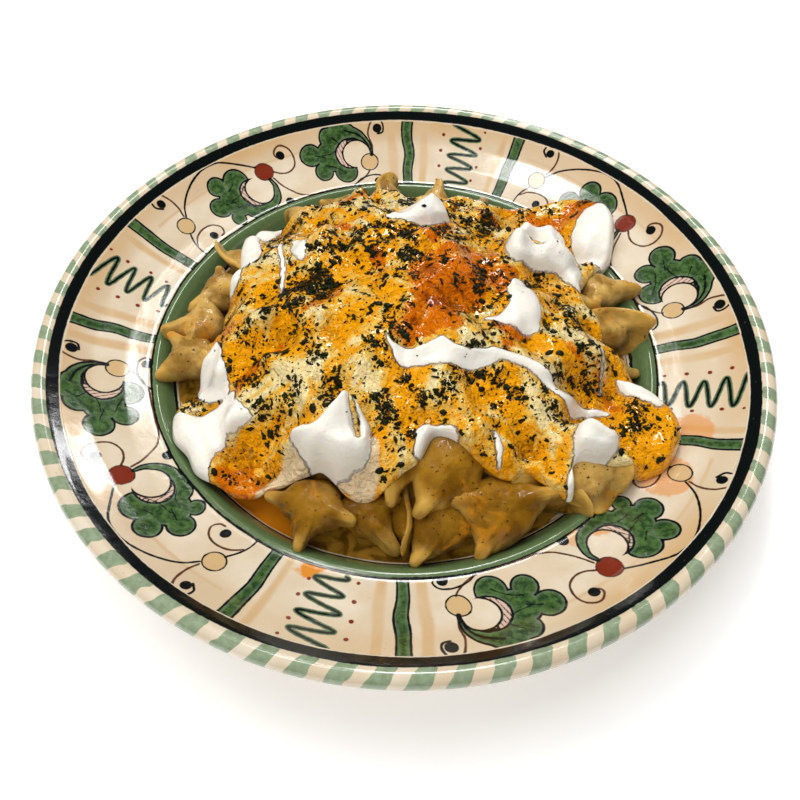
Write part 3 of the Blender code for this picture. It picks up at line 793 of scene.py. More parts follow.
def makeCore(material):
    # The filler of the heap: its dome with low lumps, and a wall down into the broth
    distances = np.append(np.linspace(2.0, heap["coreRadius"] - 1.5, 40), heap["coreRadius"] - 0.8)
    angles = np.arange(0.0, 360.0, 1.5)
    distance, angle = np.meshgrid(distances, angles, indexing="ij")
    x, y = polarPlace(angle, distance)
    z = domeHeight(distance) - 3.0 + 1.5 * rough(x, y, 12.0, 61)
    low = z[-1:] * 0.0 + heap["fillerFoot"]
    x, y, z = np.vstack((x, x[-1:])), np.vstack((y, y[-1:])), np.vstack((z, low))
    points, faces = closeRings(pointRows(x, y, z), x.shape[1], z[0].mean(), heap["fillerFoot"])
    addPiece("filler", points, faces, material, "dumplings")


def makeDoughMaterial():
    # Boiled dough: ochre, paler and creamier high up at the back and the right as painted backlight, darker
    # and browner low down, paler at its thin edges with a painted highlight along them, with orange smears
    # of butter and dark specks
    material, tree, shader = newMaterial("boiledDough")
    place = objectPlace(tree)
    parts = addNode(tree, "SeparateXYZ", {0: place}).outputs
    height = parts["Z"]
    clouds = noise(tree, place, 90.0, 4.0)
    fine = noise(tree, place, 700.0, 5.0, 0.6)
    tip = multiply(tree, readValue(tree, "tip"), spread(tree, clouds, 0.3, 0.6, 0.5, 0.85))
    colour = mixColour(tree, spread(tree, clouds, 0.3, 0.7), dough["colour"], dough["paleColour"])
    # Painted backlight: paler and creamier high up at the back and the right
    back, right = spread(tree, parts["Y"], -0.065, -0.02), spread(tree, parts["X"], 0.055, 0.07)
    side = calculate(tree, "MAXIMUM", back, right)
    paintedBacklight = multiply(tree, side, spread(tree, height, 0.014, 0.028))
    paintedBacklight = multiply(tree, paintedBacklight, spread(tree, clouds, 0.35, 0.62, 0.25, 1.0))
    colour = mixColour(tree, paintedBacklight, colour, dough["backlitColour"])
    # Darker and browner low down
    darkening = spread(tree, height, 0.036, 0.015)
    colour = mixColour(tree, multiply(tree, darkening, 0.75), colour, dough["deepColour"])
    # Paler at the thin edges, partly a painted highlight along the rims
    colour = mixColour(tree, tip, colour, dough["paleEdgeAndHighlight"])
    smears = spread(tree, noise(tree, place, 60.0, 5.0, 0.65, 1.0), 0.54, 0.66)
    colour = mixColour(tree, multiply(tree, smears, 0.6), colour, dough["butterColour"])
    specks = spread(tree, noise(tree, place, 560.0, 2.0), 0.66, 0.70)
    colour = mixColour(tree, multiply(tree, specks, 0.9), colour, dough["speckColour"])
    tree.links.new(colour, shader.inputs["Base Color"])
    setShader(shader, Roughness=0.28, IOR=1.40, Subsurface_Weight=0.2, Subsurface_Scale=0.003)
    setShader(shader, Coat_Weight=0.5, Coat_Roughness=0.08, Coat_IOR=1.46)
    shader.inputs["Subsurface Radius"].default_value = (1.0, 0.5, 0.2)
    addBump(tree, shader, ((clouds, 0.5, 0.003), (fine, 0.3, 0.0006)))
    return material


doughPoints = makeDumplings()


# Broth: butter and cooking water in the ring between the heap and the wall of the well

broth = {
    "wobble": 0.25,
    "creep": 1.3,
    "colour": (0.13, 0.060, 0.005, 1.0),
    "oilColour": (0.36, 0.185, 0.020, 1.0),
    "orange": (0.66, 0.21, 0.006, 1.0),
    # Pools of orange butter: x and y of the middle and half-width
    "pools": ((-52.0, -80.0, 26.0), (-92.0, 4.0, 24.0), (96.0, 10.0, 14.0)),
}


def makeBroth():
    # A turned ring whose level creeps up the wall of the well, over an underside that follows the plate
    outer = float(np.interp(heap["brothLevel"], topLine[:, 1], topLine[:, 0])) + 0.6
    inner = heap["coreRadius"] - 3.0
    distances = np.linspace(inner, outer, 26)
    angles = np.arange(0.0, 360.0, 0.8)
    distance, angle = np.meshgrid(distances, angles, indexing="ij")
    x, y = polarPlace(angle, distance)
    level = heap["brothLevel"] - 0.7 + broth["wobble"] * rough(x, y, 16.0, 71)
    level = level + broth["creep"] * np.exp((distance - outer) / 1.2)
    below = np.minimum(topHeight(distance) + 0.15, level - 0.05)
    points = np.concatenate([pointRows(x, y, z) for z in (level, below)])
    rows, columns = x.shape
    count = rows * columns
    top = gridFaces(rows, columns, True)[:, ::-1]
    bottom = gridFaces(rows, columns, True, count)
    ring = np.arange(columns)
    after = np.roll(ring, -1)
    inside = np.stack((ring, after, after + count, ring + count), axis=-1)
    last = ring + (rows - 1) * columns
    lastAfter = after + (rows - 1) * columns
    outside = np.stack((last, last + count, lastAfter + count, lastAfter), axis=-1)
    addPiece("brothRing", points, [top, bottom, inside, outside], makeBrothMaterial(), "broth")


def makeBrothMaterial():
    # Dark buttery water with lighter rafts of oil
    material, tree, shader = newMaterial("butterBroth")
    place = objectPlace(tree)
    rafts = spread(tree, noise(tree, place, 130.0, 4.0, 0.55, 0.6), 0.42, 0.6)
    colour = mixColour(tree, rafts, broth["colour"], broth["oilColour"])
    ragged = multiply(tree, noise(tree, place, 110.0, 4.0, 0.6), 0.012)
    for x, y, halfWidth in broth["pools"]:
        away = add(tree, distanceFrom(tree, place, x, y, heap["brothLevel"]), ragged)
        share = spread(tree, away, 0.0012 * halfWidth, 0.0007 * halfWidth, 0.0, 0.9)
        colour = mixColour(tree, share, colour, broth["orange"])
    tree.links.new(colour, shader.inputs["Base Color"])
    setShader(shader, Roughness=0.06, IOR=1.36, Coat_Weight=0.4, Coat_Roughness=0.03)
    addBump(tree, shader, ((noise(tree, place, 160.0, 3.0), 0.15, 0.002),))
    return material


makeBroth()


# Yogurt: a sheet draped over the heap, with thick spoonfuls and lobes that run over the rim

yogurt = {
    "outline": (
        (-172, 80), (-163, 88), (-154, 102), (-140, 103), (-126, 96), (-114, 78), (-104, 82), (-95, 81),
        (-86, 70), (-77, 61), (-68, 73), (-61, 83), (-56, 84), (-51.5, 99), (-47, 91), (-43, 98),
        (-36, 114), (-28, 120), (-20, 117), (-13, 101), (-4, 87), (6, 82), (15, 79), (22, 86), (28, 107),
        (35, 120), (43, 124), (51, 117), (59, 101), (70, 90), (84, 88), (97, 88), (111, 88), (125, 91),
        (137, 95), (148, 89), (162, 78), (175, 77),
    ),
    "cover": 1.8,
    "level": 7.2,
    "edge": 6.0,
    "bank": ((86.0, 14.7), (97.0, 23.4), (110.0, 23.4)),
    "rimStart": 107.8,
    # Mounds in the sheet under the thick spoonfuls: x, y, half-length, half-width, turn and height
    "mounds": (
        (-25, -62, 20, 15, 62, 5), (6, 54, 16, 11, 15, 4), (58, 40, 20, 16, 20, 5),
        (70, -54, 18, 12, 40, 5), (92, 68, 22, 19, 40, 8), (96, -46, 24, 20, -35, 8),
        (94, -28, 13, 8, 10, 3.5), (-78, -52, 22, 14, 115, 3), (-70, 55, 22, 10, 80, 3),
        (44, -4, 16, 9, 60, 1.5), (13, -62, 12, 9, 0, 3),
    ),
    # Thin white strands: lines of x, y and half-width
    "strands": (
        ((-61, 39, 0.7), (-55, 34, 1.2), (-52, 14, 1.0), (-52, 4, 0.6)),
        ((74, -2, 0.7), (76, -12, 1.1), (78, -18, 0.9), (80, -28, 0.6)),
        ((83, 9, 0.8), (86, 2, 0.9), (91, -5, 0.8), (93, -12, 2.2)),
        ((33, -60, 0.8), (35, -64, 1.3), (35, -70, 1.0)),
    ),
    # Yellow butter: x, y, half-length, half-width, turn and strength
    "buttery": (
        (100, -50, 34, 26, -40, 0.85), (-52, -68, 26, 12, -30, 0.30), (68, -26, 18, 8, -30, 0.30),
        (-66, -10, 24, 8, 75, 0.30), (-30, 20, 40, 14, 50, 0.22), (-58, -34, 34, 22, 60, 0.22),
        (-78, 4, 34, 14, 80, 0.22), (20, -45, 18, 8, -50, 0.18), (-4, -64, 12, 7, 90, 0.25),
        (10, 20, 50, 34, 30, 0.20), (60, 70, 34, 14, -30, 0.35),
    ),
    # Paprika butter: x, y, half-length, half-width, turn and strength
    "paprika": (
        (18, 10, 34, 16, 62, 0.85), (14, 40, 14, 8, 20, 0.55), (38, 16, 12, 9, 90, 0.9),
        (9, -18, 18, 8, 5, 0.8), (41, -16, 9, 6, 0, 0.6), (-30, 45, 9, 4, 50, 0.6),
        (-27, 66, 10, 5, 40, 0.6), (-13, 18, 9, 4, 70, 0.7), (-35, -3, 12, 4, 60, 0.65),
        (-57, -27, 13, 3.5, 45, 0.55), (-71, -12, 10, 4, 75, 0.5), (-60, -72, 15, 9, -30, 0.75),
        (70, -20, 14, 5, -35, 0.5), (110, -46, 20, 4, 115, 0.75), (84, -36, 14, 3, -35, 0.6),
        (84, 78, 14, 7, 10, 0.7), (60, 80, 22, 7, -30, 0.6), (40, 62, 20, 6, -25, 0.6),
    ),
    # Where mint lies thickest: x, y, half-length, half-width, turn and how much more
    "mint": (
        (-40, 10, 34, 20, 60, 1.2), (-10, 30, 26, 16, 0, 1.2), (40, -32, 26, 14, -10, 1),
        (-2, -58, 13, 16, 0, 1.2), (66, 22, 14, 26, 0, 1), (30, 55, 24, 12, -10, 0.8),
    ),
    "white": (0.93, 0.89, 0.80, 1.0),
    "pale": (0.93, 0.74, 0.36, 1.0),
    "cream": (0.88, 0.54, 0.10, 1.0),
    "butter": (0.93, 0.38, 0.003, 1.0),
    "amber": (0.34, 0.125, 0.003, 1.0),
    "film": (0.84, 0.69, 0.45, 1.0),
    "dust": (0.035, 0.028, 0.004, 1.0),
    "orange": (0.72, 0.17, 0.001, 1.0),
    "red": (0.30, 0.048, 0.001, 1.0),
    # The skin's rows under the edge: how far inward and how far down; and the height of its closing point
    "skirts": ((-0.25, 0.6), (0.2, 1.4), (1.6, 2.2), (8.0, 3.6), (20.0, 8.0)),
    "underHeight": 20.0,
    "columns": 704,
    "rows": 138,
}

# Clean white yogurt: its outline seen from above, how thick it lies, how wide its rounded edge is and
# whether it is sheer, then peaks as x, y, radius and height, and gaps in it as lines of x, y and half-width
whites = {
    "frontFilm": {
        "outline": ((-40, -64), (-47, -71), (-54, -76), (-51, -82), (-44, -80), (-37, -76), (-29, -79),
            (-20, -79), (-15, -86), (-10, -83), (-8, -73), (-10, -63), (-20, -72), (-32, -70)),
        "thick": 0.9, "edge": 2.0,
        "sheer": True,
    },
    "frontDollop": {
        "outline": ((-23, -49), (-19, -50), (-15, -55), (-12, -61), (-11, -67), (-14, -73), (-19, -76),
            (-25, -76), (-31, -73), (-36, -69), (-41, -65), (-41, -62), (-34, -61), (-28, -56)),
        "thick": 4.5, "edge": 3.5,
        "peaks": ((-24, -53, 12, 6.0), (-16, -56, 6, 2.5), (-39, -64, 8, 2.0), (-24, -68, 12, 1.5)),
        "gaps": (((-20, -50, 0.4), (-18, -58, 1.0), (-16, -66, 0.7)),),
    },
    "topDollop": {
        "outline": ((17, 48), (16, 57), (7, 63), (-4, 58), (-10, 50), (-8, 46), (5, 44)),
        "thick": 1.5, "edge": 3.0,
        "peaks": ((10, 56, 15, 11.0),),
    },
    "curl": {
        "outline": ((46, 45), (52, 50), (61, 49), (68, 50), (75, 54), (77, 50), (75, 38), (80, 26),
            (77, 19), (72, 19), (67, 24), (62, 26), (54, 25), (46, 24), (42, 30), (42, 38)),
        "thick": 4.0, "edge": 4.0,
        "peaks": ((48, 36, 7, 3.0), (51, 46, 7, 4.5), (62, 46, 8, 3.5), (66, 37, 9, 2.5), (59, 29, 8, 2.0),
            (56, 39, 6, -6.5)),
        "gaps": (((54, 40, 1.5), (59, 39, 0.6)),),
    },
    "backBlob": {
        "outline": ((77, 56), (78, 68), (85, 77), (97, 79), (106, 70), (107, 57), (98, 46), (89, 43),
            (81, 47)),
        "thick": 2.0, "edge": 5.0,
    },
    "rightDollop": {
        "outline": ((71, -48), (78, -46), (83, -51), (82, -58), (77, -64), (72, -70), (70, -77), (69, -83),
            (64, -83), (60, -78), (61, -71), (62, -64), (64, -55)),
        "thick": 3.5, "edge": 3.5,
        "peaks": ((78, -51, 12, 3.5), (68, -55, 9, 1.5)),
    },
    "leftPatch": {
        "outline": ((-90, -43), (-83, -44), (-76, -41), (-70, -37), (-66, -37), (-65, -42), (-61, -46),
            (-57, -50), (-61, -53), (-67, -56), (-71, -60), (-73, -66), (-73, -73), (-79, -73), (-88, -64),
            (-97, -52), (-97, -44)),
        "thick": 1.2, "edge": 3.0,
        "peaks": ((-87, -45, 6, 2.0),),
    },
    "leftStrip": {
        "outline": ((-78, -12), (-73, -20), (-70, -30), (-69, -37), (-74, -38), (-80, -36), (-85, -30),
            (-84, -22), (-81, -17)),
        "thick": 1.0, "edge": 2.0,
    },
    "upperLeft": {
        "outline": ((-58, 76), (-61, 66), (-65, 55), (-66, 46), (-64, 38), (-66, 32), (-70, 22), (-71, 13),
            (-76, 13), (-81, 30), (-82, 45), (-80, 58), (-75, 68), (-66, 76)),
        "thick": 1.6, "edge": 2.5,
    },
    "upperSpot": {
        "outline": ((-51, 37), (-45, 35), (-43, 26), (-44, 21), (-48, 24)),
        "thick": 0.8, "edge": 1.5,
    },
    "streak": {
        "outline": ((-8, -23), (-4, -27), (2, -28), (7, -28), (11, -25), (14, -24), (18, -26), (25, -27),
            (32, -26), (39, -26), (46, -27), (52, -30), (57, -34), (62, -38), (70, -36), (81, -36),
            (81, -39), (72, -40), (64, -44), (58, -41), (53, -37), (47, -33), (40, -31), (32, -32),
            (24, -34), (15, -35), (6, -36), (-2, -35), (-6, -30)),
        "thick": 1.1, "edge": 2.4,
    },
    "lowerDrop": {
        "outline": ((86, -22), (93, -22), (99, -27), (103, -34), (101, -38), (95, -35), (89, -29)),
        "thick": 2.0, "edge": 2.5,
    },
    "centrePatch": {
        "outline": ((43, 15), (49, 15), (53, 7), (55, -3), (53, -12), (48, -15), (41, -13), (31, -11),
            (33, -8), (39, -5), (41, 2), (41, 9)),
        "thick": 1.0, "edge": 2.5,
    },
    "cap": {
        "outline": ((4, -70), (4, -63), (8, -58), (13, -57), (18, -59), (20, -64), (18, -69), (11, -71)),
        "thick": 1.6, "edge": 2.2,
    },
}

# The grid of the heap's heights, one square for each millimetre
fieldHalf = 131
fieldPlaces = np.arange(-fieldHalf, fieldHalf + 1.0)
gridX, gridY = np.meshgrid(fieldPlaces, fieldPlaces, indexing="ij")


def outlineReach(angle):
    # How far out the yogurt reaches: a closed Catmull-Rom curve through the outline's points
    known = np.array(yogurt["outline"])
    places, reaches = known[:, 0], known[:, 1]
    turn = (angle - places[0]) % 360.0 + places[0]
    number = np.searchsorted(places, turn, side="right") - 1
    ends = np.append(places, places[0] + 360.0)
    share = (turn - ends[number]) / (ends[number + 1] - ends[number])
    four = [reaches[(number + step) % len(reaches)] for step in (-1, 0, 1, 2)]
    return curve(*four, share) + 1.6 * lumps(angle * 1.5, 0.0 * angle, 8.0, 81)


def supportHeight(x, y):
    # Height of what the yogurt lies on: the dome, or past it the plate's shoulder and rim
    distance = np.hypot(x, y)
    bank = np.interp(distance, *np.array(yogurt["bank"]).T)
    rim = np.where(distance > yogurt["rimStart"], topHeight(distance) + 0.6, 0.0)
    outside = np.maximum(np.maximum(domeHeight(distance), bank), rim)
    return np.where(distance < heap["coreRadius"], domeHeight(distance), outside)


def blur(field, width):
    # A bell-shaped average, done on the field's waves
    across, along = np.meshgrid(*(np.fft.fftfreq(count) for count in field.shape), indexing="ij")
    keep = np.exp(-2.0 * (np.pi * width) ** 2 * (across**2 + along**2))
    return np.fft.ifft2(np.fft.fft2(field) * keep).real


def heightField():
    # The highest point of the dumplings in each square of the grid, widened and then softened
    field = supportHeight(gridX, gridY)
    squares = np.clip(np.rint(doughPoints[:, :2]).astype(int) + fieldHalf, 0, 2 * fieldHalf)
    np.maximum.at(field, tuple(squares.T), doughPoints[:, 2])
    wide = field
    for stepX, stepY in ((1, 0), (-1, 0), (0, 1), (0, -1)):
        wide = np.maximum(wide, np.roll(field, (stepX, stepY), axis=(0, 1)))
    return blur(np.maximum(wide, blur(wide, 2.5)), 1.3)


drape = heightField()


def readField(field, x, y):
    # The field's value at any place, blended between its four nearest squares
    across = np.clip(x + fieldHalf, 0.0, 2.0 * fieldHalf - 0.001)
    along = np.clip(y + fieldHalf, 0.0, 2.0 * fieldHalf - 0.001)
    column, row = np.floor(across).astype(int), np.floor(along).astype(int)
    s, t = across - column, along - row
    near = field[column, row] * (1.0 - s) + field[column + 1, row] * s
    far = field[column, row + 1] * (1.0 - s) + field[column + 1, row + 1] * s
    return near * (1.0 - t) + far * t


def ovalShares(x, y, ovals):
    # For each oval, how far out every point lies, from 0 at its middle to 1 on its edge, and its last number
    for middleX, middleY, halfLength, halfWidth, turn, strength in ovals:
        alongX, alongY = math.cos(math.radians(turn)), math.sin(math.radians(turn))
        along = ((x - middleX) * alongX + (y - middleY) * alongY) / halfLength
        across = ((y - middleY) * alongX - (x - middleX) * alongY) / halfWidth
        yield np.hypot(along, across), strength


def insideOutline(x, y, outline):
    # Distance to a closed smooth outline, positive inside it; a point is inside where a line from it towards
    # +X crosses the outline an odd number of times
    closed = [*outline[-2:], *outline, *outline[:2]]
    line = smoothLine(closed, perSpan=3)[6:-5]
    best = np.full(np.shape(x), 1e3)
    within = np.zeros(np.shape(x), dtype=bool)
    for first, last in zip(line, np.roll(line, -1, axis=0)):
        best = np.minimum(best, fromSegment(x, y, first, last)[0])
        crosses = (first[1] > y) != (last[1] > y)
        runX, runY = last - first
        slope = runX / runY if abs(runY) > 1e-9 else 0.0
        within ^= crosses & (x < first[0] + (y - first[1]) * slope)
    return np.where(within, best, -best)


def whiteYogurt(x, y):
    # How much the clean patches add to the height: each is a flat cake with a rounded edge and cone-like
    # peaks; also how far inside the white and inside the sheer film each point lies, in millimetres
    raised = 0.0 * x
    whiteness = np.full(np.shape(x), -20.0)
    film = np.full(np.shape(x), -20.0)
    warpX = x + 0.8 * lumps(x, y, 6.0, 91) + 0.35 * lumps(x, y, 2.4, 93)
    warpY = y + 0.8 * lumps(x, y, 6.0, 92) + 0.35 * lumps(x, y, 2.4, 94)
    for patch in whites.values():
        known = np.array(patch["outline"], dtype=float)
        (lowX, lowY), (highX, highY) = known.min(axis=0) - 8.0, known.max(axis=0) + 8.0
        near = (x > lowX) & (x < highX) & (y > lowY) & (y < highY)
        if not near.any():
            continue
        inside = insideOutline(warpX[near], warpY[near], patch["outline"])
        share = np.clip(inside / patch["edge"], 0.0, 1.0)
        top = patch["thick"] * (share * (2.0 - share)) ** 0.75
        for peakX, peakY, radius, height in patch.get("peaks", ()):
            away = np.hypot(x[near] - peakX, y[near] - peakY) / radius
            top = top + height * np.clip(1.0 - away, 0.0, 1.0) ** 1.3 * ease(inside, -0.5, 2.0)
        for points in patch.get("gaps", ()):
            opened = stroke(warpX[near], warpY[near], points, 0.0)
            inside = np.minimum(inside, opened)
            top = top - 2.5 * (1.0 - ease(opened, -0.5, 2.0)) * share
        raised[near] = np.maximum(raised[near], top)
        kind = film if patch.get("sheer") else whiteness
        kind[near] = np.maximum(kind[near], inside)
    for points in yogurt["strands"]:
        inside = -stroke(warpX, warpY, points, 0.0)
        raised = np.maximum(raised, 0.8 * np.sqrt(np.clip(inside, 0.0, 1.0)))
        whiteness = np.maximum(whiteness, inside)
    return raised, whiteness, film


def moundHeights(x, y):
    # Rounded mounds with uneven edges
    heights = 0.0 * x
    warpX = x + 2.2 * rough(x, y, 11.0, 93)
    warpY = y + 2.2 * rough(x, y, 11.0, 97)
    for share, height in ovalShares(warpX, warpY, yogurt["mounds"]):
        heights = np.maximum(heights, height * np.clip(1.0 - share**2, 0.0, 1.0) ** 0.75)
    return heights


def yogurtTop(x, y):
    # The softened heap and a smooth dome share the height, mounds, white and ripples are added to it, and it
    # tapers to the outline; also what whiteYogurt tells of each point
    distance = np.hypot(x, y)
    base = supportHeight(x, y)
    lying = readField(drape, x, y)
    bulges = np.maximum(lying, base) + yogurt["cover"]
    level = 0.8 * bulges + 0.2 * (domeHeight(distance) + yogurt["level"])
    raised, whiteness, film = whiteYogurt(x, y)
    inside = outlineReach(np.degrees(np.arctan2(y, x))) - distance
    share = np.clip(inside / yogurt["edge"], 0.0, 1.0)
    full = np.sqrt(share * (2.0 - share))
    ripple = 0.55 * rough(x, y, 8.0, 101, 2) + 0.30 * rough(x, y, 3.4, 105, 2)
    ripple = ripple * ease(-whiteness, -1.0, 1.0)
    top = np.maximum(bulges, level) + moundHeights(x, y) + raised + ripple
    return lying + 0.5 + (top - lying + 0.7) * full, whiteness, film


def makeStreaks(size, reach, seed):
    # Noise smeared along the way down the heap, as thin yogurt and butter run
    slopeX, slopeY = np.gradient(blur(drape, 3.5))
    slopeX, slopeY = slopeX - 0.004 * gridX, slopeY - 0.004 * gridY
    steep = np.hypot(slopeX, slopeY) + 1e-6
    stepX, stepY = -slopeX / steep, -slopeY / steep
    grain = rough(gridX, gridY, size, seed, 2)
    total = 0.0 * gridX
    for way in (1.0, -1.0):
        atX, atY = gridX, gridY
        for _ in range(reach):
            total = total + readField(grain, atX, atY)
            atX, atY = atX + way * readField(stepX, atX, atY), atY + way * readField(stepY, atX, atY)
    total = total - total.mean()
    return total / total.std()


def mintDensity(x, y, whiteness):
    # Even cover with clumps, more in the thick places and almost none on the white spoonfuls
    density = 0.55 + 0.0 * x
    for share, more in ovalShares(x, y, yogurt["mint"]):
        density = density + more * (1.0 - ease(share, 0.2, 1.1))
    density = density * (0.15 + 1.7 * ease(rough(x, y, 7.0, 151), -0.1, 0.9))
    return density * (1.0 - 0.995 * ease(whiteness, -0.8, 0.4))


def paintYogurt(x, y, whiteness):
    # Each point's share of butter, which gathers in hollows and streaks, of darkening, from yogurt soaked by
    # the mint, from oil and painted shade in the hollows and more towards the left, and of paprika, which
    # lies in patches
    hollow = readField(blur(drape, 7.0), x, y) - readField(drape, x, y)
    streaks = readField(makeStreaks(4.0, 12, 111), x, y)
    fine = readField(makeStreaks(2.0, 6, 121), x, y)
    paprika = 0.0 * x
    warpX = x + 4.0 * rough(x, y, 13.0, 141)
    warpY = y + 4.0 * rough(x, y, 13.0, 145)
    for share, strength in ovalShares(warpX, warpY, yogurt["paprika"]):
        paprika = np.maximum(paprika, strength * (1.0 - ease(share, 0.55, 1.15)))
    paprika = np.clip(paprika * (0.95 + 0.22 * streaks + 0.10 * fine + 0.03 * hollow), 0.0, 1.1)
    mottles = rough(x, y, 4.5, 171, 3)
    butter = 0.57 + 0.09 * hollow + 0.26 * streaks + 0.13 * mottles + 0.18 * fine
    for share, strength in ovalShares(warpX, warpY, yogurt["buttery"]):
        butter = butter + strength * (1.0 - ease(share, 0.5, 1.2))
    # Darkening: the mint's stain, with oil and painted shade in the hollows
    darkening = ease(mintDensity(x, y, whiteness), 0.4, 2.2) + 0.20 * hollow + 0.10 * fine
    darkening = darkening + 0.22 * ease(-x, 30.0, 75.0) * ease(mottles, -0.4, 0.8)
    return {
        "white": whiteness,
        "butter": np.maximum(np.clip(butter, 0.0, 1.0), paprika),
        "darkening": np.clip(darkening, 0.0, 1.0),
        "paprika": paprika,
    }


def makeYogurt():
    columns, rows = yogurt["columns"], yogurt["rows"]
    angles = np.linspace(0.0, 360.0, columns, endpoint=False)
    reach = outlineReach(np.where(angles > 180.0, angles - 360.0, angles))
    share = np.linspace(0.0, 1.0, rows + 1)[1:]
    # Rows lie a little closer toward the outline
    share = share + 0.12 * np.sin(np.pi * share) * share
    share[-1] = 1.0
    angle = np.repeat(angles[None, :], rows, axis=0)
    distance = share[:, None] * reach[None, :]
    x, y = polarPlace(angle, distance)
    z, whiteness, film = yogurtTop(x, y)
    # Past the outline the skin turns under and runs back to the middle
    skirts = []
    for inward, drop in yogurt["skirts"]:
        skirts.append(pointRows(*polarPlace(angles, reach - inward), z[-1] - drop))
    points = np.concatenate([pointRows(x, y, z), *skirts])
    centre = yogurtTop(np.zeros(1), np.zeros(1))[0]
    points, faces = closeRings(points, columns, centre[0], yogurt["underHeight"])
    piece = addPiece("yogurtSheet", points, faces, makeYogurtMaterial(), "yogurt")
    paint = paintYogurt(x, y, whiteness) | {"film": film}
    for name, values in paint.items():
        edge = np.tile(values[-1], (len(skirts), 1))
        values = np.concatenate((values.ravel(), edge.ravel(), values[0, :1], values[0, :1]))
        addValues(piece, name, values)


def makeYogurtMaterial():
    # Yogurt stained cream to yellow by butter, orange and red by paprika and dark amber by the mint, with
    # painted shade in dark amber in the hollows, mint dust, the sheer film and the clean white over it
    material, tree, shader = newMaterial("butteredYogurt")
    place = objectPlace(tree)
    fine = noise(tree, place, 620.0, 4.0, 0.6)
    wisps = noise(tree, place, 260.0, 3.0, 0.55, 1.2)
    clouds = noise(tree, place, 150.0, 4.0)
    ragged = calculate(tree, "SUBTRACT", fine, 0.5)
    wispy = calculate(tree, "SUBTRACT", wisps, 0.5)
    uneven = add(tree, ragged, wispy)
    butter = add(tree, readValue(tree, "butter"), uneven)
    darkening = add(tree, readValue(tree, "darkening"), multiply(tree, uneven, 1.6))
    paprika = add(tree, readValue(tree, "paprika"), multiply(tree, uneven, 0.5))
    frayed = multiply(tree, uneven, 1.1)
    white = add(tree, readValue(tree, "white"), frayed)
    film = add(tree, readValue(tree, "film"), frayed)
    colour = mixColour(tree, spread(tree, butter, 0.10, 0.42), yogurt["pale"], yogurt["cream"])
    colour = mixColour(tree, spread(tree, butter, 0.40, 0.85), colour, yogurt["butter"])
    colour = mixColour(tree, spread(tree, paprika, 0.22, 0.60), colour, yogurt["orange"])
    colour = mixColour(tree, spread(tree, paprika, 0.80, 1.20), colour, yogurt["red"])
    # Dark amber: the mint's stain, and painted shade in the hollows
    colour = mixColour(tree, spread(tree, darkening, 0.40, 1.10, 0.0, 0.75), colour, yogurt["amber"])
    dusty = spread(tree, darkening, 0.0, 0.8, 0.15, 1.0)
    dust = multiply(tree, spread(tree, noise(tree, place, 950.0, 2.0), 0.62, 0.68), dusty)
    colour = mixColour(tree, dust, colour, yogurt["dust"])
    colour = mixColour(tree, spread(tree, film, -0.6, 1.0, 0.0, 0.85), colour, yogurt["film"])
    clean = spread(tree, white, -0.5, 0.7)
    colour = mixColour(tree, clean, colour, yogurt["white"])
    tree.links.new(colour, shader.inputs["Base Color"])
    tree.links.new(spread(tree, clean, 0.0, 1.0, 0.12, 0.30), shader.inputs["Roughness"])
    setShader(shader, IOR=1.36, Subsurface_Weight=0.25, Subsurface_Scale=0.002, Coat_Weight=1.0)
    setShader(shader, Coat_Roughness=0.06, Coat_IOR=1.5)
    shader.inputs["Subsurface Radius"].default_value = (1.0, 0.6, 0.25)
    oily = spread(tree, clean, 0.0, 1.0, 1.0, 0.12)
    relief = multiply(tree, fine, oily)
    waves = multiply(tree, wisps, oily)
    swells = multiply(tree, clouds, oily)
    addBump(tree, shader, ((swells, 0.6, 0.004), (waves, 0.9, 0.0030), (relief, 0.35, 0.0006)))
    return material


makeYogurt()


# Mint, pepper and paprika flakes scattered over the yogurt

flakes = {
    "reach": 122.0,
    "margin": 2.0,
    "triesEach": 30,
    # The density at which every try is kept
    "fullDensity": 2.4,
    "slopeStep": 0.8,
    "tilt": 0.22,
    "crumple": 0.05,
    "lift": 0.1,
    "mint": {"count": 4200, "size": (1.0, 3.8), "colour": (0.010, 0.012, 0.002, 1.0)},
    "crumbs": {"count": 18000, "size": (0.3, 1.05), "colour": (0.012, 0.009, 0.002, 1.0)},
    "pepper": {"count": 900, "size": (0.4, 1.1), "colour": (0.20, 0.015, 0.004, 1.0)},
}


def flakeShape(corners):
    # A curled leaf fragment of unit length: an upper and a lower skin that meet at its rim
    turns = np.linspace(0.0, 2.0 * np.pi, corners, endpoint=False)
    x, y = 0.5 * np.cos(turns), 0.27 * np.sin(turns)
    rim = np.stack((x, y, 0.22 * x**2 + 0.16 * y), axis=-1)
    points = np.vstack((rim, (0.05, 0.0, 0.07), (0.05, 0.0, -0.03)))
    ring = np.arange(corners)
    return points, np.concatenate((fanFaces(corners, ring), fanFaces(corners + 1, ring, False)))


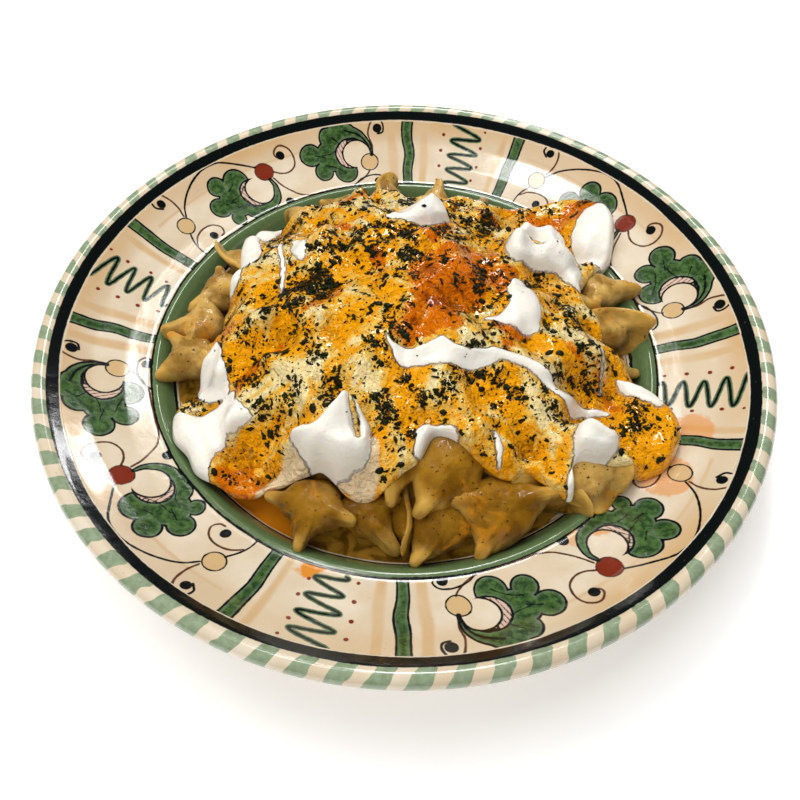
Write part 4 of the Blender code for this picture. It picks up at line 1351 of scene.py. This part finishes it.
def scatter(name, values, corners, seed):
    # Copies of one flake, each turned, tilted with the surface, crumpled and laid on it
    draw = np.random.default_rng(seed)
    tries = flakes["triesEach"] * values["count"]
    angle = draw.uniform(-180.0, 180.0, tries)
    x, y = polarPlace(angle, flakes["reach"] * np.sqrt(draw.random(tries)))
    inside = np.hypot(x, y) < outlineReach(angle) - flakes["margin"]
    x, y = x[inside], y[inside]
    z, whiteness, film = yogurtTop(x, y)
    kept = draw.random(len(x)) * flakes["fullDensity"] < mintDensity(x, y, np.maximum(whiteness, film))
    x, y, z = x[kept][: values["count"]], y[kept][: values["count"]], z[kept][: values["count"]]
    count = len(x)
    step = flakes["slopeStep"]
    slopeX = (yogurtTop(x + step, y)[0] - yogurtTop(x - step, y)[0]) / (2.0 * step)
    slopeY = (yogurtTop(x, y + step)[0] - yogurtTop(x, y - step)[0]) / (2.0 * step)
    up = np.stack((-slopeX, -slopeY, np.ones(count)), axis=-1) + draw.normal(0.0, flakes["tilt"], (count, 3))
    up = up / np.linalg.norm(up, axis=1, keepdims=True)
    turn = draw.uniform(0.0, 2.0 * np.pi, count)
    side = np.stack((np.cos(turn), np.sin(turn), 0.0 * turn), axis=-1)
    side = side - up * np.sum(side * up, axis=1, keepdims=True)
    side = side / np.linalg.norm(side, axis=1, keepdims=True)
    front = np.cross(up, side)
    low, high = values["size"]
    size = low + (high - low) * draw.random(count) ** 2.2
    shape, faces = flakeShape(corners)
    stretch = np.stack((size, size * draw.uniform(0.6, 1.4, count), size), axis=-1)
    crumple = draw.normal(0.0, flakes["crumple"], (count, len(shape), 3))
    local = shape[None] * stretch[:, None, :] + crumple * size[:, None, None]
    axes = np.stack((side, front, up), axis=1)
    middles = pointRows(x, y, z + flakes["lift"])[:, None, :]
    points = np.einsum("nki,nij->nkj", local, axes) + middles
    allFaces = (faces[None] + (np.arange(count) * len(shape))[:, None, None]).reshape(-1, 3)
    material = makeFlakeMaterial(name, values["colour"])
    piece = addPiece(name, points.reshape(-1, 3), [allFaces], material, "yogurt")
    addValues(piece, "shade", np.repeat(draw.random(count), len(shape)))


def makeFlakeMaterial(name, shade):
    # Dried leaf: each flake has its own shade, from near black to olive
    material, tree, shader = newMaterial(name)
    place = objectPlace(tree)
    grain = noise(tree, place, 1500.0, 3.0)
    pale = tuple(min(1.0, 2.6 * value) for value in shade[:3])
    own = spread(tree, readValue(tree, "shade"), 0.35, 1.0)
    colour = mixColour(tree, multiply(tree, own, grain), shade, (*pale, 1.0))
    tree.links.new(colour, shader.inputs["Base Color"])
    setShader(shader, Roughness=0.45, Specular_IOR_Level=0.3, Coat_Weight=0.3, Coat_Roughness=0.1)
    addBump(tree, shader, ((grain, 0.3, 0.0002),))
    return material


scatter("mintFlakes", flakes["mint"], 8, 11)
scatter("mintCrumbs", flakes["crumbs"], 5, 12)
scatter("redPepper", flakes["pepper"], 6, 13)


# Floor, light and camera

studio = {
    "floor": (0.93, 0.93, 0.925, 1.0),
    "floorLight": (0.95, 0.95, 0.945, 1.0),
    "floorHalf": 3.0,
    "floorGlow": 0.27,
    "sky": (1.0, 0.99, 0.97, 1.0),
    "skyStrength": 0.17,
    # Place, aim, width, height, power and whether it shows in reflections; metres and watts
    "lights": (
        ("window", (0.172, 0.795, 0.432), (-0.108, -0.075, 0.032), 0.10, 0.09, 0.5, True),
        ("skylight", (-0.13, 0.31, 1.0), (0.05, 0.08, 0.03), 0.12, 0.12, 0.6, True),
        ("highWindow", (0.03, 0.68, 0.92), (0.0, 0.02, 0.04), 0.11, 0.30, 1.7, True),
        ("softTop", (-0.22, 0.32, 1.08), (0.0, 0.0, 0.0), 1.1, 1.1, 11.5, False),
        ("frontFill", (-0.35, -0.75, 0.80), (0.0, 0.0, 0.03), 0.9, 0.9, 5.2, False),
    ),
    "camera": (-0.00152, -0.21837, 0.2831),
    "cameraDown": 54.13,
    "cameraRoll": 1.66,
    "lens": 35.33,
}


def makeStage():
    # A pale floor that glows a little, a soft sky and the lights
    mesh = bpy.data.meshes.new("studioFloor")
    half = studio["floorHalf"]
    corners = [(-half, -half, 0.0), (half, -half, 0.0), (half, half, 0.0), (-half, half, 0.0)]
    mesh.from_pydata(corners, [], [(0, 1, 2, 3)])
    floor = bpy.data.objects.new("studioFloor", mesh)
    bpy.context.collection.objects.link(floor)
    material, tree, shader = newMaterial("paleFloor")
    grain = noise(tree, objectPlace(tree), 30.0)
    colour = mixColour(tree, spread(tree, grain, 0.3, 0.7), studio["floor"], studio["floorLight"])
    tree.links.new(colour, shader.inputs["Base Color"])
    setShader(shader, Roughness=0.9, Emission_Strength=studio["floorGlow"])
    shader.inputs["Emission Color"].default_value = studio["floor"]
    mesh.materials.append(material)
    world = bpy.data.worlds.new("softSky")
    world.use_nodes = True
    sky = world.node_tree.nodes["Background"]
    sky.inputs["Color"].default_value = studio["sky"]
    sky.inputs["Strength"].default_value = studio["skyStrength"]
    world.cycles_visibility.glossy = False
    bpy.context.scene.world = world
    for name, place, aim, width, height, power, mirrored in studio["lights"]:
        lamp = bpy.data.lights.new(name, "AREA")
        lamp.shape = "RECTANGLE"
        lamp.size, lamp.size_y, lamp.energy = width, height, power
        light = bpy.data.objects.new(name, lamp)
        bpy.context.collection.objects.link(light)
        light.visible_glossy = mirrored
        toward = Vector(aim) - Vector(place)
        light.matrix_world = Matrix.Translation(place) @ lookAlong(toward)
    bpy.context.scene.view_settings.view_transform = "Standard"


def lookAlong(direction):
    # The turn that points an object's -Z along this direction
    return direction.to_track_quat("-Z", "Y").to_matrix().to_4x4()


def makeCamera():
    # Looks along +Y and down, then rolled a little about its own view
    data = bpy.data.cameras.new("camera")
    data.lens = studio["lens"]
    data.sensor_width = 36.0
    data.clip_start = 0.01
    camera = bpy.data.objects.new("camera", data)
    bpy.context.collection.objects.link(camera)
    tilt = Matrix.Rotation(math.radians(90.0 - studio["cameraDown"]), 4, "X")
    roll = Matrix.Rotation(math.radians(studio["cameraRoll"]), 4, "Z")
    camera.matrix_world = Matrix.Translation(studio["camera"]) @ tilt @ roll
    bpy.context.scene.camera = camera


makeStage()
makeCamera()
